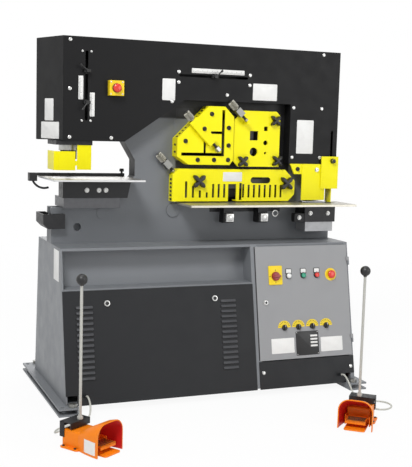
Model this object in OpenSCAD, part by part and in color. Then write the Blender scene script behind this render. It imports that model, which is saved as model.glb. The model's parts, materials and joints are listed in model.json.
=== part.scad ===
// Dual-operator hydraulic ironworker: a punch on the left, a rocking shear beam in the middle
// with angle, bar and flat stations, and a notcher on the right, on a sheet steel base cabinet.
// +X is to the operator's right, -Y is the operator's side, +Z is up. Millimetres.
// The origin lies on the floor, in the middle of the four anchor holes.

/* [Base cabinet] */
// Width over the side plates
base_w = 1455; // [1440:5:1480]
// Height of the deck above the floor
deck_z = 710; // [690:5:740]
// Depth of the deck
base_top_d = 460; // [440:5:500]
// How far the front leans out from the deck to the foot
front_run = 135; // [100:5:150]
// How far the back leans out from the deck to the foot
back_run = 70; // [40:5:90]
// Thickness of the side plates
side_t = 8; // [5:0.5:10]
// Thickness of the deck
deck_t = 12; // [8:1:16]
// Height of the tool tray opening
tray_h = 173; // [150:1:185]
// Depth of the tool tray
tray_d = 100; // [70:1:130]
// Louvres in one column of the front panel
louvre_count = 14; // [8:1:15]

/* [Skid rails] */
// Rail past the foot of the cabinet's front
rail_past = 45; // [40:1:75]
// Width of a rail
rail_w = 90; // [80:1:110]
// Height of a rail
rail_h = 36; // [32:1:44]
// Wall of a rail
rail_t = 8; // [5:0.5:10]
// Anchor hole in a rail
anchor_d = 18; // [14:0.5:22]

/* [Door] */
// Width of the door
door_w = 502; // [490:1:512]
// Height of the kick panel below the door
kick_h = 128; // [115:1:140]
// Thickness of the door and the panels
panel_t = 4; // [2:0.5:5]

/* [Frame] */
// Thickness of one frame plate
plate_t = 25; // [18:1:30]
// Gap between the frame plates, where the shear beam rocks
frame_gap = 40; // [32:1:50]
// Reach of the throat from the punch axis to the frame
throat_depth = 308; // [295:1:320]
// Top of the covers above the deck
cover_rise = 940; // [930:5:1000]
// Front of the covers ahead of the frame's middle plane
cover_front = 110; // [104:1:114]
// Back of the covers behind the frame's middle plane
cover_back = 107; // [100:1:130]
// Thickness of the cover sheet
cover_t = 3; // [1.5:0.5:4]

/* [Punch] */
// Stroke of the punch ram
punch_stroke = 45; // [35:1:50]
// Diameter of the ram
ram_d = 90; // [76:1:100]
// Outside diameter of the punch cylinder
barrel_d = 150; // [130:1:158]
// Diameter of the punch
punch_d = 26; // [12:0.5:32]
// Clearance between punch and die, on the diameter
die_clear = 1; // [0.6:0.1:2]
// Height of the punch table above the deck
die_rise = 306; // [300:1:312]

/* [Shear] */
// Diameter of the pivot pin of the shear beam
pivot_d = 60; // [45:1:70]
// Height of the shear table above the deck
shear_rise = 190; // [184:1:192]
// Full swing of the shear beam in degrees
beam_swing = 4.3; // [3.6:0.1:4.6]
// Width of the angle slot
angle_slot = 15; // [10:1:20]
// Side of the square bar hole
square_hole = 45; // [25:1:50]
// Diameter of the round bar hole
round_hole = 42; // [25:1:48]
// Thickness of the guard sheet
guard_t = 5; // [3:0.5:7]

/* [Pedals] */
// Width of a pedal hood
hood_w = 150; // [145:1:165]
// Height of a pedal hood
hood_h = 130; // [125:1:150]
// Height of the carrying handle's ball
handle_h = 660; // [550:5:800]
// Diameter of the handle ball
ball_d = 45; // [35:1:60]
// Diameter of a pedal cord
cord_d = 8; // [6:0.5:8]

/* [Hidden] */
$fn = 48;

// Shared clearances
over = 2;  // overrun of every cut
run_gap = 0.3;  // between sliding or separate flat faces
pin_fit = 0.05;  // radial, between a pin and its bore
half_share = 0.5;  // a half step of a pattern
corner_share = 0.41;  // a mitred corner of an even wall

// Paint and metal
cover_black = [0.16, 0.16, 0.17];
base_grey = [0.48, 0.49, 0.51];
door_grey = [0.60, 0.60, 0.61];
panel_dark = [0.20, 0.20, 0.21];
guard_yellow = [0.98, 0.90, 0.10];
pedal_orange = [0.95, 0.48, 0.12];
bright_steel = [0.72, 0.72, 0.70];
tool_black = [0.10, 0.10, 0.11];
button_red = [0.85, 0.15, 0.12];
button_green = [0.12, 0.60, 0.45];

// A flat profile in X and Z, thickened from y0 towards the back
module upright(y0, t) translate([0, y0 + t, 0]) rotate([90, 0, 0]) linear_extrude(t) children();

// A flat profile in Y and Z, thickened from x0 to the right
module sideways(x0, w) translate([x0, 0, 0]) rotate([90, 0, 90]) linear_extrude(w) children();

module rod_x(y, z, d, x0, x1) translate([x0, y, z]) rotate([0, 90, 0]) cylinder(h = x1 - x0, d = d);

module rod_y(x, z, d, y0, y1) translate([x, y1, z]) rotate([90, 0, 0]) cylinder(h = y1 - y0, d = d);

module rod_z(x, y, d, z0, z1) translate([x, y, z0]) cylinder(h = z1 - z0, d = d);

module block(x0, x1, y0, y1, z0, z1) translate([x0, y0, z0]) cube([x1 - x0, y1 - y0, z1 - z0]);

module slab(x, w, y0, y1, z, h) block(x - w / 2, x + w / 2, y0, y1, z - h / 2, z + h / 2);

module area(x0, x1, z0, z1) translate([x0, z0]) square([x1 - x0, z1 - z0]);

// A round-ended slot between two points of a profile
module slot_between(a, b, w) {
  run = b - a;
  translate(a) rotate(atan2(run.y, run.x)) {
    circle(d = w);
    translate([norm(run), 0]) circle(d = w);
    translate([0, -w / 2]) square([norm(run), w]);
  }
}

// A band of even width along the left of a path, with mitred corners
function left_of(a, b) = [a.y - b.y, b.x - a.x] / norm(b - a);
function mitre(p, i) = i == 0 ? left_of(p[0], p[1]) : i == len(p) - 1 ? left_of(p[i - 1], p[i]) :
  let (m = left_of(p[i - 1], p[i]), n = left_of(p[i], p[i + 1])) (m + n) / (1 + m * n);

module edge_band(path, t) {
  last = len(path) - 1;
  polygon(concat(path, [for (i = [last : -1 : 0]) path[i] + t * mitre(path, i)]));
}

// Base cabinet, worked out
half_w = base_w / 2;
half_top = base_top_d / 2;
base_rise = deck_z - rail_h;
front_lean = atan(front_run / base_rise);
front_foot_y = -half_top - front_run;
rail_l = 2 * (rail_past - front_foot_y);
back_foot_y = half_top + back_run;
function front_y(z) = -half_top - front_run * (deck_z - z) / base_rise;
function back_y(z) = half_top + back_run * (deck_z - z) / base_rise;
deck_lip = 6;  // edge that shows above the tray opening
shelf_t = 7;
sheet_t = 4;  // inner sheets of the cabinet
pan_t = 6;  // floor pan
tray_top_z = deck_z - deck_lip;
tray_z = tray_top_z - tray_h;
shelf_low_z = tray_z - shelf_t;
door_edge = 8.5;  // door edge to the outer face of the side plate
door_lap = 12;  // door over its posts
post_w = 35;
post_d = 30;
panel_edge = 1.5;  // panel edge to the outer face of the side plate
panel_gap = 4;  // between neighbouring panels
door_right = half_w - door_edge;
door_left = door_right - door_w;
post_left = door_left + door_lap - post_w;
post_right = post_left + post_w;
panel_left = -half_w + panel_edge;
panel_right = post_left + panel_edge;
panel_low_z = rail_h - pan_t;
kick_left = post_left + post_w / 2;
kick_right = half_w - panel_edge;
kick_top_z = panel_low_z + kick_h;
door_low_z = kick_top_z + panel_gap;
door_top_z = deck_z - deck_t;

// Sloping front: children's x runs right, y up the slope and z out of it
module on_front(x, z) {
  translate([x, front_y(z), z]) rotate([90 - front_lean, 0, 0]) children();
}

module on_panel(x, z, out = 0) on_front(x, z) translate([0, 0, panel_t + out]) children();

module front_sheet(x0, x1, z0, z1, t) {
  on_front(0, z0) translate([x0, 0, 0]) cube([x1 - x0, (z1 - z0) / cos(front_lean), t]);
}

// Upright wall across the cabinet, between its sloping front and back
module bay_profile(z0, z1, inset) {
  polygon([[front_y(z0) + inset, z0], [back_y(z0) - inset, z0], [back_y(z1) - inset, z1],
           [front_y(z1) + inset, z1]]);
}

hinge_out = 7;  // hinge axis ahead of the front
hinge_past = 5.5;  // hinge axis beyond the door's edge
knuckle_d = 10;
hinge_pin_d = 6;
hinge_web = 5;
knuckle_h = 40;
hinge_in = 60;  // hinges from the door's ends
hinge_x = door_right + hinge_past;
hinge_zs = [door_low_z + hinge_in, door_top_z - hinge_in - knuckle_h];

module base_cabinet() color(base_grey) {
  inside = half_w - side_t / 2;
  for (x0 = [-half_w, half_w - side_t])
    sideways(x0, side_t) bay_profile(rail_h, deck_z, 0);
  block(-half_w, half_w, -half_top, half_top, deck_z - deck_t, deck_z);
  sideways(-inside, 2 * inside) polygon([[back_foot_y - sheet_t, rail_h], [back_foot_y, rail_h],
    [half_top, deck_z], [half_top - sheet_t, deck_z]]);
  block(-inside, inside, front_foot_y + post_d / 2, back_foot_y - sheet_t / 2, rail_h, rail_h + pan_t);
  // dividing post with the wall between the two bays, and the door's right post
  sideways(post_left, post_w) polygon([[front_foot_y, rail_h], [front_foot_y + post_d, rail_h],
    [-half_top + post_d, deck_z], [-half_top, deck_z]]);
  sideways(post_left, sheet_t) bay_profile(rail_h, deck_z, sheet_t / 2);
  sideways(door_right - door_lap, door_lap + door_edge - side_t / 2) polygon([[front_foot_y, rail_h],
    [front_foot_y + post_d, rail_h], [-half_top + post_d, deck_z], [-half_top, deck_z]]);
  // tool tray floor and back
  sideways(-inside, inside + post_left + sheet_t / 2) polygon([
    [front_y(shelf_low_z) + panel_edge, shelf_low_z],
    [front_y(shelf_low_z) + tray_d, shelf_low_z], [front_y(deck_z) + tray_d, deck_z - deck_t / 2],
    [front_y(deck_z) + tray_d - sheet_t, deck_z - deck_t / 2], [front_y(tray_z) + tray_d - sheet_t, tray_z],
    [front_y(tray_z) + panel_edge, tray_z]]);
  // lower halves of the door's hinges, with their pins
  for (z = hinge_zs) on_front(hinge_x, z) {
    translate([0, 0, hinge_out]) rotate([-90, 0, 0]) cylinder(h = knuckle_h / 2, d = knuckle_d);
    translate([0, 0, hinge_out]) rotate([-90, 0, 0]) cylinder(h = knuckle_h, d = hinge_pin_d);
    translate([-hinge_web / 2, 0, -over]) cube([hinge_web, knuckle_h / 2, hinge_out + over]);
  }
}

// Skid rails, open on the outside, with the anchor holes past the side plates
rail_under = 50;  // rail under the cabinet's side
rail_in = half_w - rail_under;
rail_out = rail_in + rail_w;
anchor_x = (half_w + rail_out) / 2;
anchor_end = 25;
anchor_y = rail_l / 2 - anchor_end;

module skid_rails() color(base_grey) for (side = [0, 1]) mirror([side, 0, 0]) difference() {
  block(rail_in, rail_out, -rail_l / 2, rail_l / 2, 0, rail_h);
  block(rail_in + rail_t, rail_out + over, -rail_l / 2 - over, rail_l / 2 + over, rail_t, rail_h - rail_t);
  for (y = [-anchor_y, anchor_y]) rod_z(anchor_x, y, anchor_d, -over, rail_h + over);
}

// Louvres pressed out of the front panel
louvre_w = 76;
louvre_h = 11;
louvre_out = 7;
louvre_wall = 2;
louvre_pitch = 23.6;
louvre_low_z = 140;
louvre_left = 58;  // from the panel's left edge
louvre_right = 169;  // from the panel's right edge
gland_d = 18;
gland_l = 28;
gland_tip_d = 14;
gland_z = 72;
gland_in = 86;  // from the panel's outer edge
left_gland_x = panel_left + gland_in;
right_gland_x = kick_right - gland_in;
foot_notch_w = 50;
foot_notch_h = 45;

module cord_gland(x) on_front(x, gland_z) cylinder(h = gland_l, d1 = gland_d, d2 = gland_tip_d);

module louvre_column(x) for (i = [0 : louvre_count - 1])
  on_panel(x, louvre_low_z + i * louvre_pitch) rotate([90, 0, 90])
    linear_extrude(louvre_w) polygon([[0, -sheet_t], [louvre_h, -sheet_t], [louvre_h, 0], [0, louvre_out]]);

module louvre_throats(x) for (i = [0 : louvre_count - 1])
  on_front(x, louvre_low_z + i * louvre_pitch) translate([louvre_wall, -over, -over])
    cube([louvre_w - 2 * louvre_wall, louvre_h / 2 + over, louvre_out / 2 + panel_t + over]);

module front_panel() color(panel_dark) {
  columns = [panel_left + louvre_left, panel_right - louvre_right];
  difference() {
    union() {
      front_sheet(panel_left, panel_right, panel_low_z, shelf_low_z, panel_t);
      for (x = columns) louvre_column(x);
    }
    for (x = columns) louvre_throats(x);
    front_sheet(panel_left - over, panel_left + foot_notch_w, panel_low_z - over,
      panel_low_z + foot_notch_h, panel_t + over);
  }
  cord_gland(left_gland_x);
}

module kick_panel() color(panel_dark) {
  difference() {
    front_sheet(kick_left, kick_right, panel_low_z, kick_top_z, panel_t);
    front_sheet(kick_right - foot_notch_w, kick_right + over, panel_low_z - over,
      panel_low_z + foot_notch_h, panel_t + over);
  }
  cord_gland(right_gland_x);
}

// C-frame outline
punch_x = -640;
throat_x = punch_x + throat_depth;
shear_z = deck_z + shear_rise;
table_z = deck_z + die_rise;
half_gap = frame_gap / 2;
half_frame = half_gap + plate_t;
jaw_left = -728;
frame_right = 723;
jaw_rise = 167;
jaw_step_run = 88;
throat_foot_run = 65;
throat_foot_rise = 219;
throat_knee_run = 27;
throat_knee_rise = 285;
throat_low_rise = 314;
throat_high_rise = 389;
throat_brow_run = 50;
throat_brow_rise = 472;
upper_jaw_rise = 490;
saddle_reach = 80;  // punch axis to the end of the upper jaw
frame_top_gap = 20;  // below the roof
column_right = 690;
column_rise = 400;
notch_wall = 564;
arm_rise = 47;
jaw_z = deck_z + jaw_rise;
arm_z = deck_z + arm_rise;
cover_top_z = deck_z + cover_rise;
frame_top_z = cover_top_z - frame_top_gap;
saddle_x = punch_x + saddle_reach;

module frame_outline() polygon([[jaw_left, deck_z], [frame_right, deck_z], [frame_right, arm_z],
  [notch_wall, arm_z], [notch_wall, deck_z + column_rise], [column_right, deck_z + column_rise],
  [column_right, frame_top_z], [saddle_x, frame_top_z], [saddle_x, deck_z + upper_jaw_rise],
  [throat_x - throat_brow_run, deck_z + throat_brow_rise], [throat_x, deck_z + throat_high_rise],
  [throat_x, deck_z + throat_low_rise], [throat_x - throat_knee_run, deck_z + throat_knee_rise],
  [throat_x - throat_foot_run, deck_z + throat_foot_rise], [throat_x - jaw_step_run, jaw_z],
  [jaw_left, jaw_z]]);

// Side of the throat that the die holder and its table come up to
module throat_flank() upright(-half_frame - run_gap, 2 * half_frame + 2 * run_gap)
  polygon([[throat_x - jaw_step_run - run_gap, jaw_z - over], [throat_x - jaw_step_run - run_gap, jaw_z],
    [throat_x - throat_foot_run - run_gap, deck_z + throat_foot_rise],
    [throat_x - throat_knee_run - run_gap, deck_z + throat_knee_rise],
    [throat_x - run_gap, deck_z + throat_low_rise], [throat_x, jaw_z - over]]);

// Stations of the shear
pivot_x = -138;
pivot_rise = 150;
pivot_z = deck_z + pivot_rise;
angle_right = 95;  // outer corner of the angle slot
angle_rise = 415;
angle_low = deck_z + angle_rise;
angle_leg = 220;
angle_top_in = 5;  // slot end to the blade's edge
angle_edge = 16;  // slot to the blade's right and lower edge
angle_blade_left = angle_right - angle_leg - angle_top_in;
angle_blade_right = angle_right + angle_edge;
angle_blade_low = angle_low - angle_edge;
angle_blade_top = angle_low + angle_leg + angle_top_in;
bar_x = 258;
square_rise = 517;
round_rise = 438;
square_z = deck_z + square_rise;
round_z = deck_z + round_rise;
small_run = 63;  // second row of bar holes, to the right
small_square = 21;
small_square_rise = 552;
small_round = 24;
small_round_rise = 483;
tiny_round = 13;
tiny_round_rise = 433;
bar_blade_edges = [88, 127, 58, 103];  // from the large holes: left, right, below and above
bar_blade_left = bar_x - bar_blade_edges[0];
bar_blade_right = bar_x + bar_blade_edges[1];
bar_blade_low = round_z - bar_blade_edges[2];
bar_blade_top = square_z + bar_blade_edges[3];
bar_split_x = bar_x + (small_run + (square_hole - small_round) / 2) / 2;
large_split_z = (square_z - square_hole / 2 + round_z + round_hole / 2) / 2;
small_split_rises = [(small_square_rise + small_round_rise - (small_square - small_round) / 2) / 2,
  (small_round_rise + tiny_round_rise - (small_round - tiny_round) / 2) / 2];
flat_left = 55;
flat_right = 440;
flat_open = 65;  // flat window above the lower blade
flat_blade_h = 50;
cylinder_x = 560;
cylinder_bay_w = 150;
cylinder_low_rise = 610;
cylinder_low_z = deck_z + cylinder_low_rise;
cylinder_head = 30;  // frame above the shear cylinder
cylinder_top_z = frame_top_z - cylinder_head;
way_out = 12;  // rear windows over the front ones
handling_d = 36;
handling_x = -606;
handling_rise = 75;
boss_d = 54;
boss_x = -488;
boss_rise = 139;
boss_t = 2;

module angle_aperture(w) {
  area(angle_right - w, angle_right, angle_low, angle_low + angle_leg);
  area(angle_right - angle_leg, angle_right, angle_low, angle_low + w);
}

module bar_apertures() {
  translate([bar_x - square_hole / 2, square_z - square_hole / 2]) square(square_hole);
  translate([bar_x, round_z]) circle(d = round_hole);
  translate([bar_x + small_run - small_square / 2, deck_z + small_square_rise - small_square / 2])
    square(small_square);
  translate([bar_x + small_run, deck_z + small_round_rise]) circle(d = small_round);
  translate([bar_x + small_run, deck_z + tiny_round_rise]) circle(d = tiny_round);
}

module angle_blade_area(grow) area(angle_blade_left - grow, angle_blade_right + grow,
  angle_blade_low - grow, angle_blade_top + grow);

module bar_blade_area(grow) area(bar_blade_left - grow, bar_blade_right + grow,
  bar_blade_low - grow, bar_blade_top + grow);

// Bar blade of five inserts, one to a hole
module bar_inserts() difference() {
  bar_blade_area(0);
  bar_apertures();
  area(bar_split_x - run_gap / 2, bar_split_x + run_gap / 2, bar_blade_low - over, bar_blade_top + over);
  area(bar_blade_left - over, bar_split_x, large_split_z - run_gap / 2, large_split_z + run_gap / 2);
  for (rise = small_split_rises) area(bar_split_x, bar_blade_right + over,
    deck_z + rise - run_gap / 2, deck_z + rise + run_gap / 2);
}

module frame_windows(grow) {
  angle_blade_area(grow);
  bar_blade_area(grow);
  area(flat_left - grow, flat_right + grow, shear_z - flat_blade_h - grow, shear_z + flat_open + grow);
  area(cylinder_x - cylinder_bay_w / 2, cylinder_x + cylinder_bay_w / 2, cylinder_low_z, cylinder_top_z);
}

module front_frame_plate() color(base_grey) difference() {
  union() {
    upright(-half_frame, plate_t) difference() {
      frame_outline();
      frame_windows(0);
    }
    rod_y(boss_x, deck_z + boss_rise, boss_d, -half_frame - boss_t, -half_frame + boss_t);
  }
  rod_y(pivot_x, pivot_z, pivot_d + 2 * pin_fit, -half_frame - over, -half_gap + over);
  rod_y(handling_x, deck_z + handling_rise, handling_d, -half_frame - over, -half_gap + over);
}

module rear_frame_plate() color(base_grey) difference() {
  upright(half_gap, plate_t) difference() {
    frame_outline();
    frame_windows(way_out);
  }
  rod_y(pivot_x, pivot_z, pivot_d + 2 * pin_fit, half_gap - over, half_frame + over);
}

// Spacers between the plates, round the room in which the beam rocks
room_left = -250;
chute_drop = 30;  // from the jaw's top to the chute's upper end

module frame_spacers() color(base_grey) upright(-half_gap, frame_gap) difference() {
  frame_outline();
  area(room_left, frame_right + over, arm_z, cylinder_top_z);
  // chute from the die to the slug box
  polygon([[punch_x + slug_d / 2, jaw_z + over], [punch_x + slug_d / 2, jaw_z - chute_drop],
    [jaw_left - over, slug_cut_z], [jaw_left - over, jaw_z + over]]);
}

pin_head_d = 64;
pin_head_t = 6;

module pivot_pin() color(base_grey) {
  rod_y(pivot_x, pivot_z, pivot_d, -half_frame, half_frame);
  rod_y(pivot_x, pivot_z, pin_head_d, -half_frame - pin_head_t, -half_frame);
}

// Covers round the top of the frame
cover_left = -695;
cover_left_back = -769;
cover_right = 716;
cover_low_rise = 475;
cover_brow_run = 72;  // lower corner ahead of the throat
cover_mid_x = -112;
cover_mid_rise = 675;
cover_inner_x = 447;
cover_side_rise = 383;
cover_lip = 25;  // return under the punch end
cover_low_z = deck_z + cover_low_rise;
cover_mid_z = deck_z + cover_mid_rise;
cover_side_z = deck_z + cover_side_rise;
cover_brow_x = throat_x - cover_brow_run;
stroke_slot_x = -586;
stroke_slot_rise = 574;
stroke_slot_l = 298;
stroke_slot_w = 14;
gauge_slot_x = -137;
gauge_slot_l = 342;
gauge_slot_gap = 115;  // above the covers' edge
gauge_slot_w = 12;
tooth_slot_x = 686;
tooth_slot_rise = 400;
tooth_slot_l = 145;
tooth_slot_w = 12;
tooth_count = 8;
stroke_slot_z = deck_z + stroke_slot_rise;
gauge_slot_z = cover_mid_z + gauge_slot_gap;
tooth_slot_z = deck_z + tooth_slot_rise;
inside_y = cover_t + run_gap - cover_front;  // just inside the front cover

module cover_outline(left) polygon([[left, cover_top_z], [left, cover_low_z], [cover_brow_x, cover_low_z],
  [cover_mid_x, cover_mid_z], [cover_inner_x, cover_mid_z], [cover_inner_x, cover_side_z],
  [cover_right, cover_side_z], [cover_right, cover_top_z]]);

// Lower edge of the covers, from the punch end to the right end
function cover_edge(left) = [[left, cover_low_z], [cover_brow_x, cover_low_z], [cover_mid_x, cover_mid_z],
  [cover_inner_x, cover_mid_z], [cover_inner_x, cover_side_z], [cover_right - cover_t, cover_side_z]];

module cover_returns(left) edge_band([for (i = [1 : 5]) cover_edge(left)[i]], cover_t);

module cover_lips(left) edge_band(cover_edge(left), cover_t);

module cover_slots() {
  slot_between([stroke_slot_x, stroke_slot_z], [stroke_slot_x, stroke_slot_z + stroke_slot_l], stroke_slot_w);
  slot_between([gauge_slot_x, gauge_slot_z], [gauge_slot_x + gauge_slot_l, gauge_slot_z], gauge_slot_w);
  slot_between([tooth_slot_x, tooth_slot_z], [tooth_slot_x, tooth_slot_z + tooth_slot_l], tooth_slot_w);
  for (i = [1 : tooth_count]) {
    step = tooth_slot_l / tooth_count;
    translate([tooth_slot_x, tooth_slot_z + i * step])
      polygon([[0, 0], [-tooth_slot_w, -step / 2], [0, -step / 2]]);
  }
}

module front_cover() color(cover_black) {
  upright(-cover_front, cover_t) difference() {
    cover_outline(cover_left);
    cover_slots();
  }
  upright(-cover_front + cover_t, cover_front - cover_t - half_frame) cover_returns(cover_left);
  upright(-cover_front + cover_t, cover_lip) cover_lips(cover_left);
}

module rear_cover() color(cover_black) {
  upright(cover_back - cover_t, cover_t) cover_outline(cover_left_back);
  upright(half_frame, cover_back - cover_t - half_frame) cover_returns(cover_left_back);
  upright(cover_back - cover_t - cover_lip, cover_lip) cover_lips(cover_left_back);
}

module top_cover() color(cover_black) {
  y0 = -cover_front + cover_t;
  y1 = cover_back - cover_t;
  translate([0, 0, cover_top_z - cover_t]) linear_extrude(cover_t)
    polygon([[cover_left, y0], [cover_right, y0], [cover_right, y1], [cover_left_back, y1]]);
  block(cover_right - cover_t, cover_right, y0, y1, cover_side_z, cover_top_z - cover_t);
  translate([0, 0, cover_low_z + cover_t]) linear_extrude(cover_top_z - cover_low_z - 2 * cover_t)
    polygon([[cover_left, y0], [cover_left + cover_t, y0], [cover_left_back + cover_t, y1],
      [cover_left_back, y1]]);
}

// Emergency stop box on the cover
estop_box_w = 68;
estop_box_h = 68;
estop_box_d = 30;
estop_box_x = -453;
estop_box_rise = 717;
estop_box_z = deck_z + estop_box_rise;
estop_box_y = -cover_front - estop_box_d;
mushroom_d = 40;
mushroom_h = 14;
crown_share = 0.8;  // flat crown of the mushroom
estop_stem_d = 22;
estop_stem_l = 16;
estop_travel = 5;
bore_gap = 0.2;  // radial, round a push button

module estop_box() color(guard_yellow) difference() {
  slab(estop_box_x, estop_box_w, estop_box_y, -cover_front, estop_box_z, estop_box_h);
  rod_y(estop_box_x, estop_box_z, estop_stem_d + 2 * bore_gap, estop_box_y - over,
    estop_box_y + estop_stem_l + estop_travel + over);
}

// Mushroom button: its stem goes down a bore, its head stands clear by the travel
module mushroom() {
  head_z = estop_travel + over;
  translate([0, 0, -estop_stem_l]) cylinder(h = estop_stem_l + head_z + mushroom_h / 2, d = estop_stem_d);
  translate([0, 0, head_z]) cylinder(h = mushroom_h / 2, d1 = mushroom_d * crown_share, d2 = mushroom_d);
  translate([0, 0, head_z + mushroom_h / 2])
    cylinder(h = mushroom_h / 2, d1 = mushroom_d, d2 = mushroom_d * crown_share);
}

module upper_estop() color(button_red)
  translate([estop_box_x, estop_box_y, estop_box_z]) rotate([90, 0, 0]) mushroom();

// Stroke stops: a clamp block outside, a stem in the slot and a plate inside the cover
stop_w = 30;
stop_h = 14;
stop_out = 18;
stop_stem = 10;
stop_plate = 24;
stop_plate_t = 4;
upper_stop_share = 0.72;
lower_stop_share = 0.25;
gauge_stop_share = 0.5;

module stroke_stop(x, z) {
  y0 = -cover_front - run_gap;
  slab(x, stop_w, y0 - stop_out, y0, z, stop_h);
  slab(x, stop_stem, y0 - over, inside_y + over, z, stop_stem);
  slab(x, stop_plate, inside_y, inside_y + stop_plate_t, z, stop_plate);
}

module punch_stop_upper() color(tool_black)
  stroke_stop(stroke_slot_x, stroke_slot_z + stroke_slot_l * upper_stop_share);

module punch_stop_lower() color(tool_black)
  stroke_stop(stroke_slot_x, stroke_slot_z + stroke_slot_l * lower_stop_share);

module shear_stop() color(tool_black)
  stroke_stop(gauge_slot_x + gauge_slot_l * gauge_stop_share, gauge_slot_z);

// Punch cylinder, carried by the end of the upper jaw
foot_plate_t = 20;
foot_plate_left = -718;
foot_plate_right = -550;
foot_plate_half = 90;
barrel_top_gap = 75;  // below the roof
bore_head = 100;  // closed end above the ram's bore
foot_plate_z = cover_low_z - foot_plate_t;
barrel_top_z = cover_top_z - barrel_top_gap;

module punch_cylinder() color(tool_black) difference() {
  union() {
    rod_z(punch_x, 0, barrel_d, foot_plate_z, barrel_top_z);
    block(punch_x, saddle_x, -half_frame, half_frame, deck_z + upper_jaw_rise, barrel_top_z - foot_plate_t);
    block(foot_plate_left, foot_plate_right, -foot_plate_half, foot_plate_half, foot_plate_z,
      cover_low_z - run_gap);
  }
  rod_z(punch_x, 0, ram_d + 2 * pin_fit, foot_plate_z - over, barrel_top_z - bore_head);
}

nose_l = 26;
nut_d = 76;
nut_h = 40;
punch_body_d = 40;
punch_body_h = 25;
punch_enter = 11;  // into the die at full stroke
punch_tip_z = table_z + punch_stroke - punch_enter;
ram_in = 230;  // ram inside its cylinder at rest

module punch_ram() color(bright_steel) {
  nose_z = foot_plate_z - nose_l;
  rod_z(punch_x, 0, ram_d, nose_z, foot_plate_z + ram_in);
  rod_z(punch_x, 0, nut_d, nose_z - nut_h, nose_z);
  rod_z(punch_x, 0, punch_body_d, nose_z - nut_h - punch_body_h, nose_z - nut_h);
  rod_z(punch_x, 0, punch_d, punch_tip_z, nose_z - nut_h);
}

// Die holder on its base, with the die standing up through the table
die_base_h = 47;
die_base_left = -681;
die_base_right = -413;
die_base_half = 90;
holder_left = -688;
holder_right = -366;
holder_half = 100;
holder_cut = 16;  // sloping right end
holder_step_w = 56;  // shoulder at the right end
holder_step_h = 10;
holder_cheek = 85;  // straight front part of the left end
holder_taper_share = 0.5;  // the rest of it draws in
table_t = 8;
die_d = 80;
slug_d = 34;
slug_land = 12;  // straight land of the die

module die_holder() color(tool_black) difference() {
  low_z = jaw_z + die_base_h;
  top_z = table_z - table_t;
  shoulder_x = holder_right - holder_step_w;
  union() {
    block(die_base_left, die_base_right, -die_base_half, die_base_half, jaw_z, low_z);
    intersection() {
      upright(-holder_half, 2 * holder_half) polygon([[holder_left, low_z],
        [holder_right - holder_cut, low_z], [holder_right, top_z - holder_step_h],
        [shoulder_x, top_z - holder_step_h], [shoulder_x, top_z], [holder_left, top_z]]);
      translate([0, 0, low_z - over]) linear_extrude(top_z - low_z + 2 * over)
        polygon([[holder_left, -holder_half], [holder_right, -holder_half], [holder_right, holder_half],
          [holder_left + holder_taper_share * (2 * holder_half - holder_cheek), holder_half],
          [holder_left, holder_cheek - holder_half]]);
    }
    rod_z(punch_x, 0, die_d, top_z, table_z);
  }
  rod_z(punch_x, 0, punch_d + die_clear, table_z - slug_land - over, table_z + over);
  rod_z(punch_x, 0, slug_d, jaw_z - over, table_z - slug_land);
  throat_flank();
}

punch_table_left = -762;
punch_table_right = -345;
punch_table_front = -254;
punch_table_back = 100;
die_hole_gap = 3;

module punch_table() color(bright_steel) difference() {
  block(punch_table_left, punch_table_right, punch_table_front, punch_table_back, table_z - table_t, table_z);
  rod_z(punch_x, 0, die_d + 2 * die_hole_gap, table_z - table_t - over, table_z + over);
  throat_flank();
}

// Back fence with its clamp hook at the left end of the table
fence_left = -810;
fence_right = -350;
fence_y = 60;
fence_t = 20;
fence_h = 14;
fence_end_w = 36;
fence_drop = 24;
hook_r = 59;
hook_d = 10;
hook_lean = 20;
hook_turn = 90;

module fence() color(tool_black) {
  block(fence_left, fence_right, fence_y, fence_y + fence_t, table_z + run_gap, table_z + run_gap + fence_h);
  block(fence_left, fence_left + fence_end_w, fence_y - fence_t / 2, fence_y + 3 * fence_t / 2,
    table_z - fence_drop, table_z + run_gap + fence_h);
  translate([fence_left + fence_end_w / 2 + hook_r * cos(hook_lean), fence_y + fence_t / 2,
    table_z - fence_drop + hook_d / 2 + hook_r * sin(hook_lean)]) rotate([90, 0, 0]) rotate(180 + hook_lean)
    rotate_extrude(angle = hook_turn) translate([hook_r, 0]) circle(d = hook_d);
}

// Box that catches the slugs, hooked round the end of the lower jaw
slug_left = -772;
slug_wing_right = -671;
slug_half = 80;
slug_low_rise = 71;
slug_h = 67;
slug_wall = 4;
slug_cut = 22;
slug_low_z = deck_z + slug_low_rise;
slug_cut_z = slug_low_z + slug_cut;
slug_top_z = slug_low_z + slug_h;

module slug_box() color(tool_black) difference() {
  corner = slug_wall * corner_share;
  upright(-slug_half, 2 * slug_half) polygon([[slug_left, slug_cut_z], [slug_left + slug_cut, slug_low_z],
    [slug_wing_right, slug_low_z], [slug_wing_right, slug_top_z], [slug_left, slug_top_z]]);
  block(jaw_left, slug_wing_right + over, -half_frame, slug_half + over, slug_low_z - over,
    slug_top_z + over);
  upright(-slug_half + slug_wall, 2 * (slug_half - slug_wall)) polygon([
    [slug_left + slug_wall, slug_cut_z + corner],
    [slug_left + slug_cut + corner, slug_low_z + slug_wall], [jaw_left - slug_wall, slug_low_z + slug_wall],
    [jaw_left - slug_wall, slug_top_z + over], [slug_left + slug_wall, slug_top_z + over]]);
  block(jaw_left - slug_wall - over, jaw_left + over, -half_gap, half_gap, slug_cut_z, slug_top_z + over);
  block(jaw_left + slug_wall, slug_wing_right - slug_wall, -slug_half + slug_wall, -half_frame - slug_wall,
    slug_low_z + slug_wall, slug_top_z + over);
}

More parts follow.
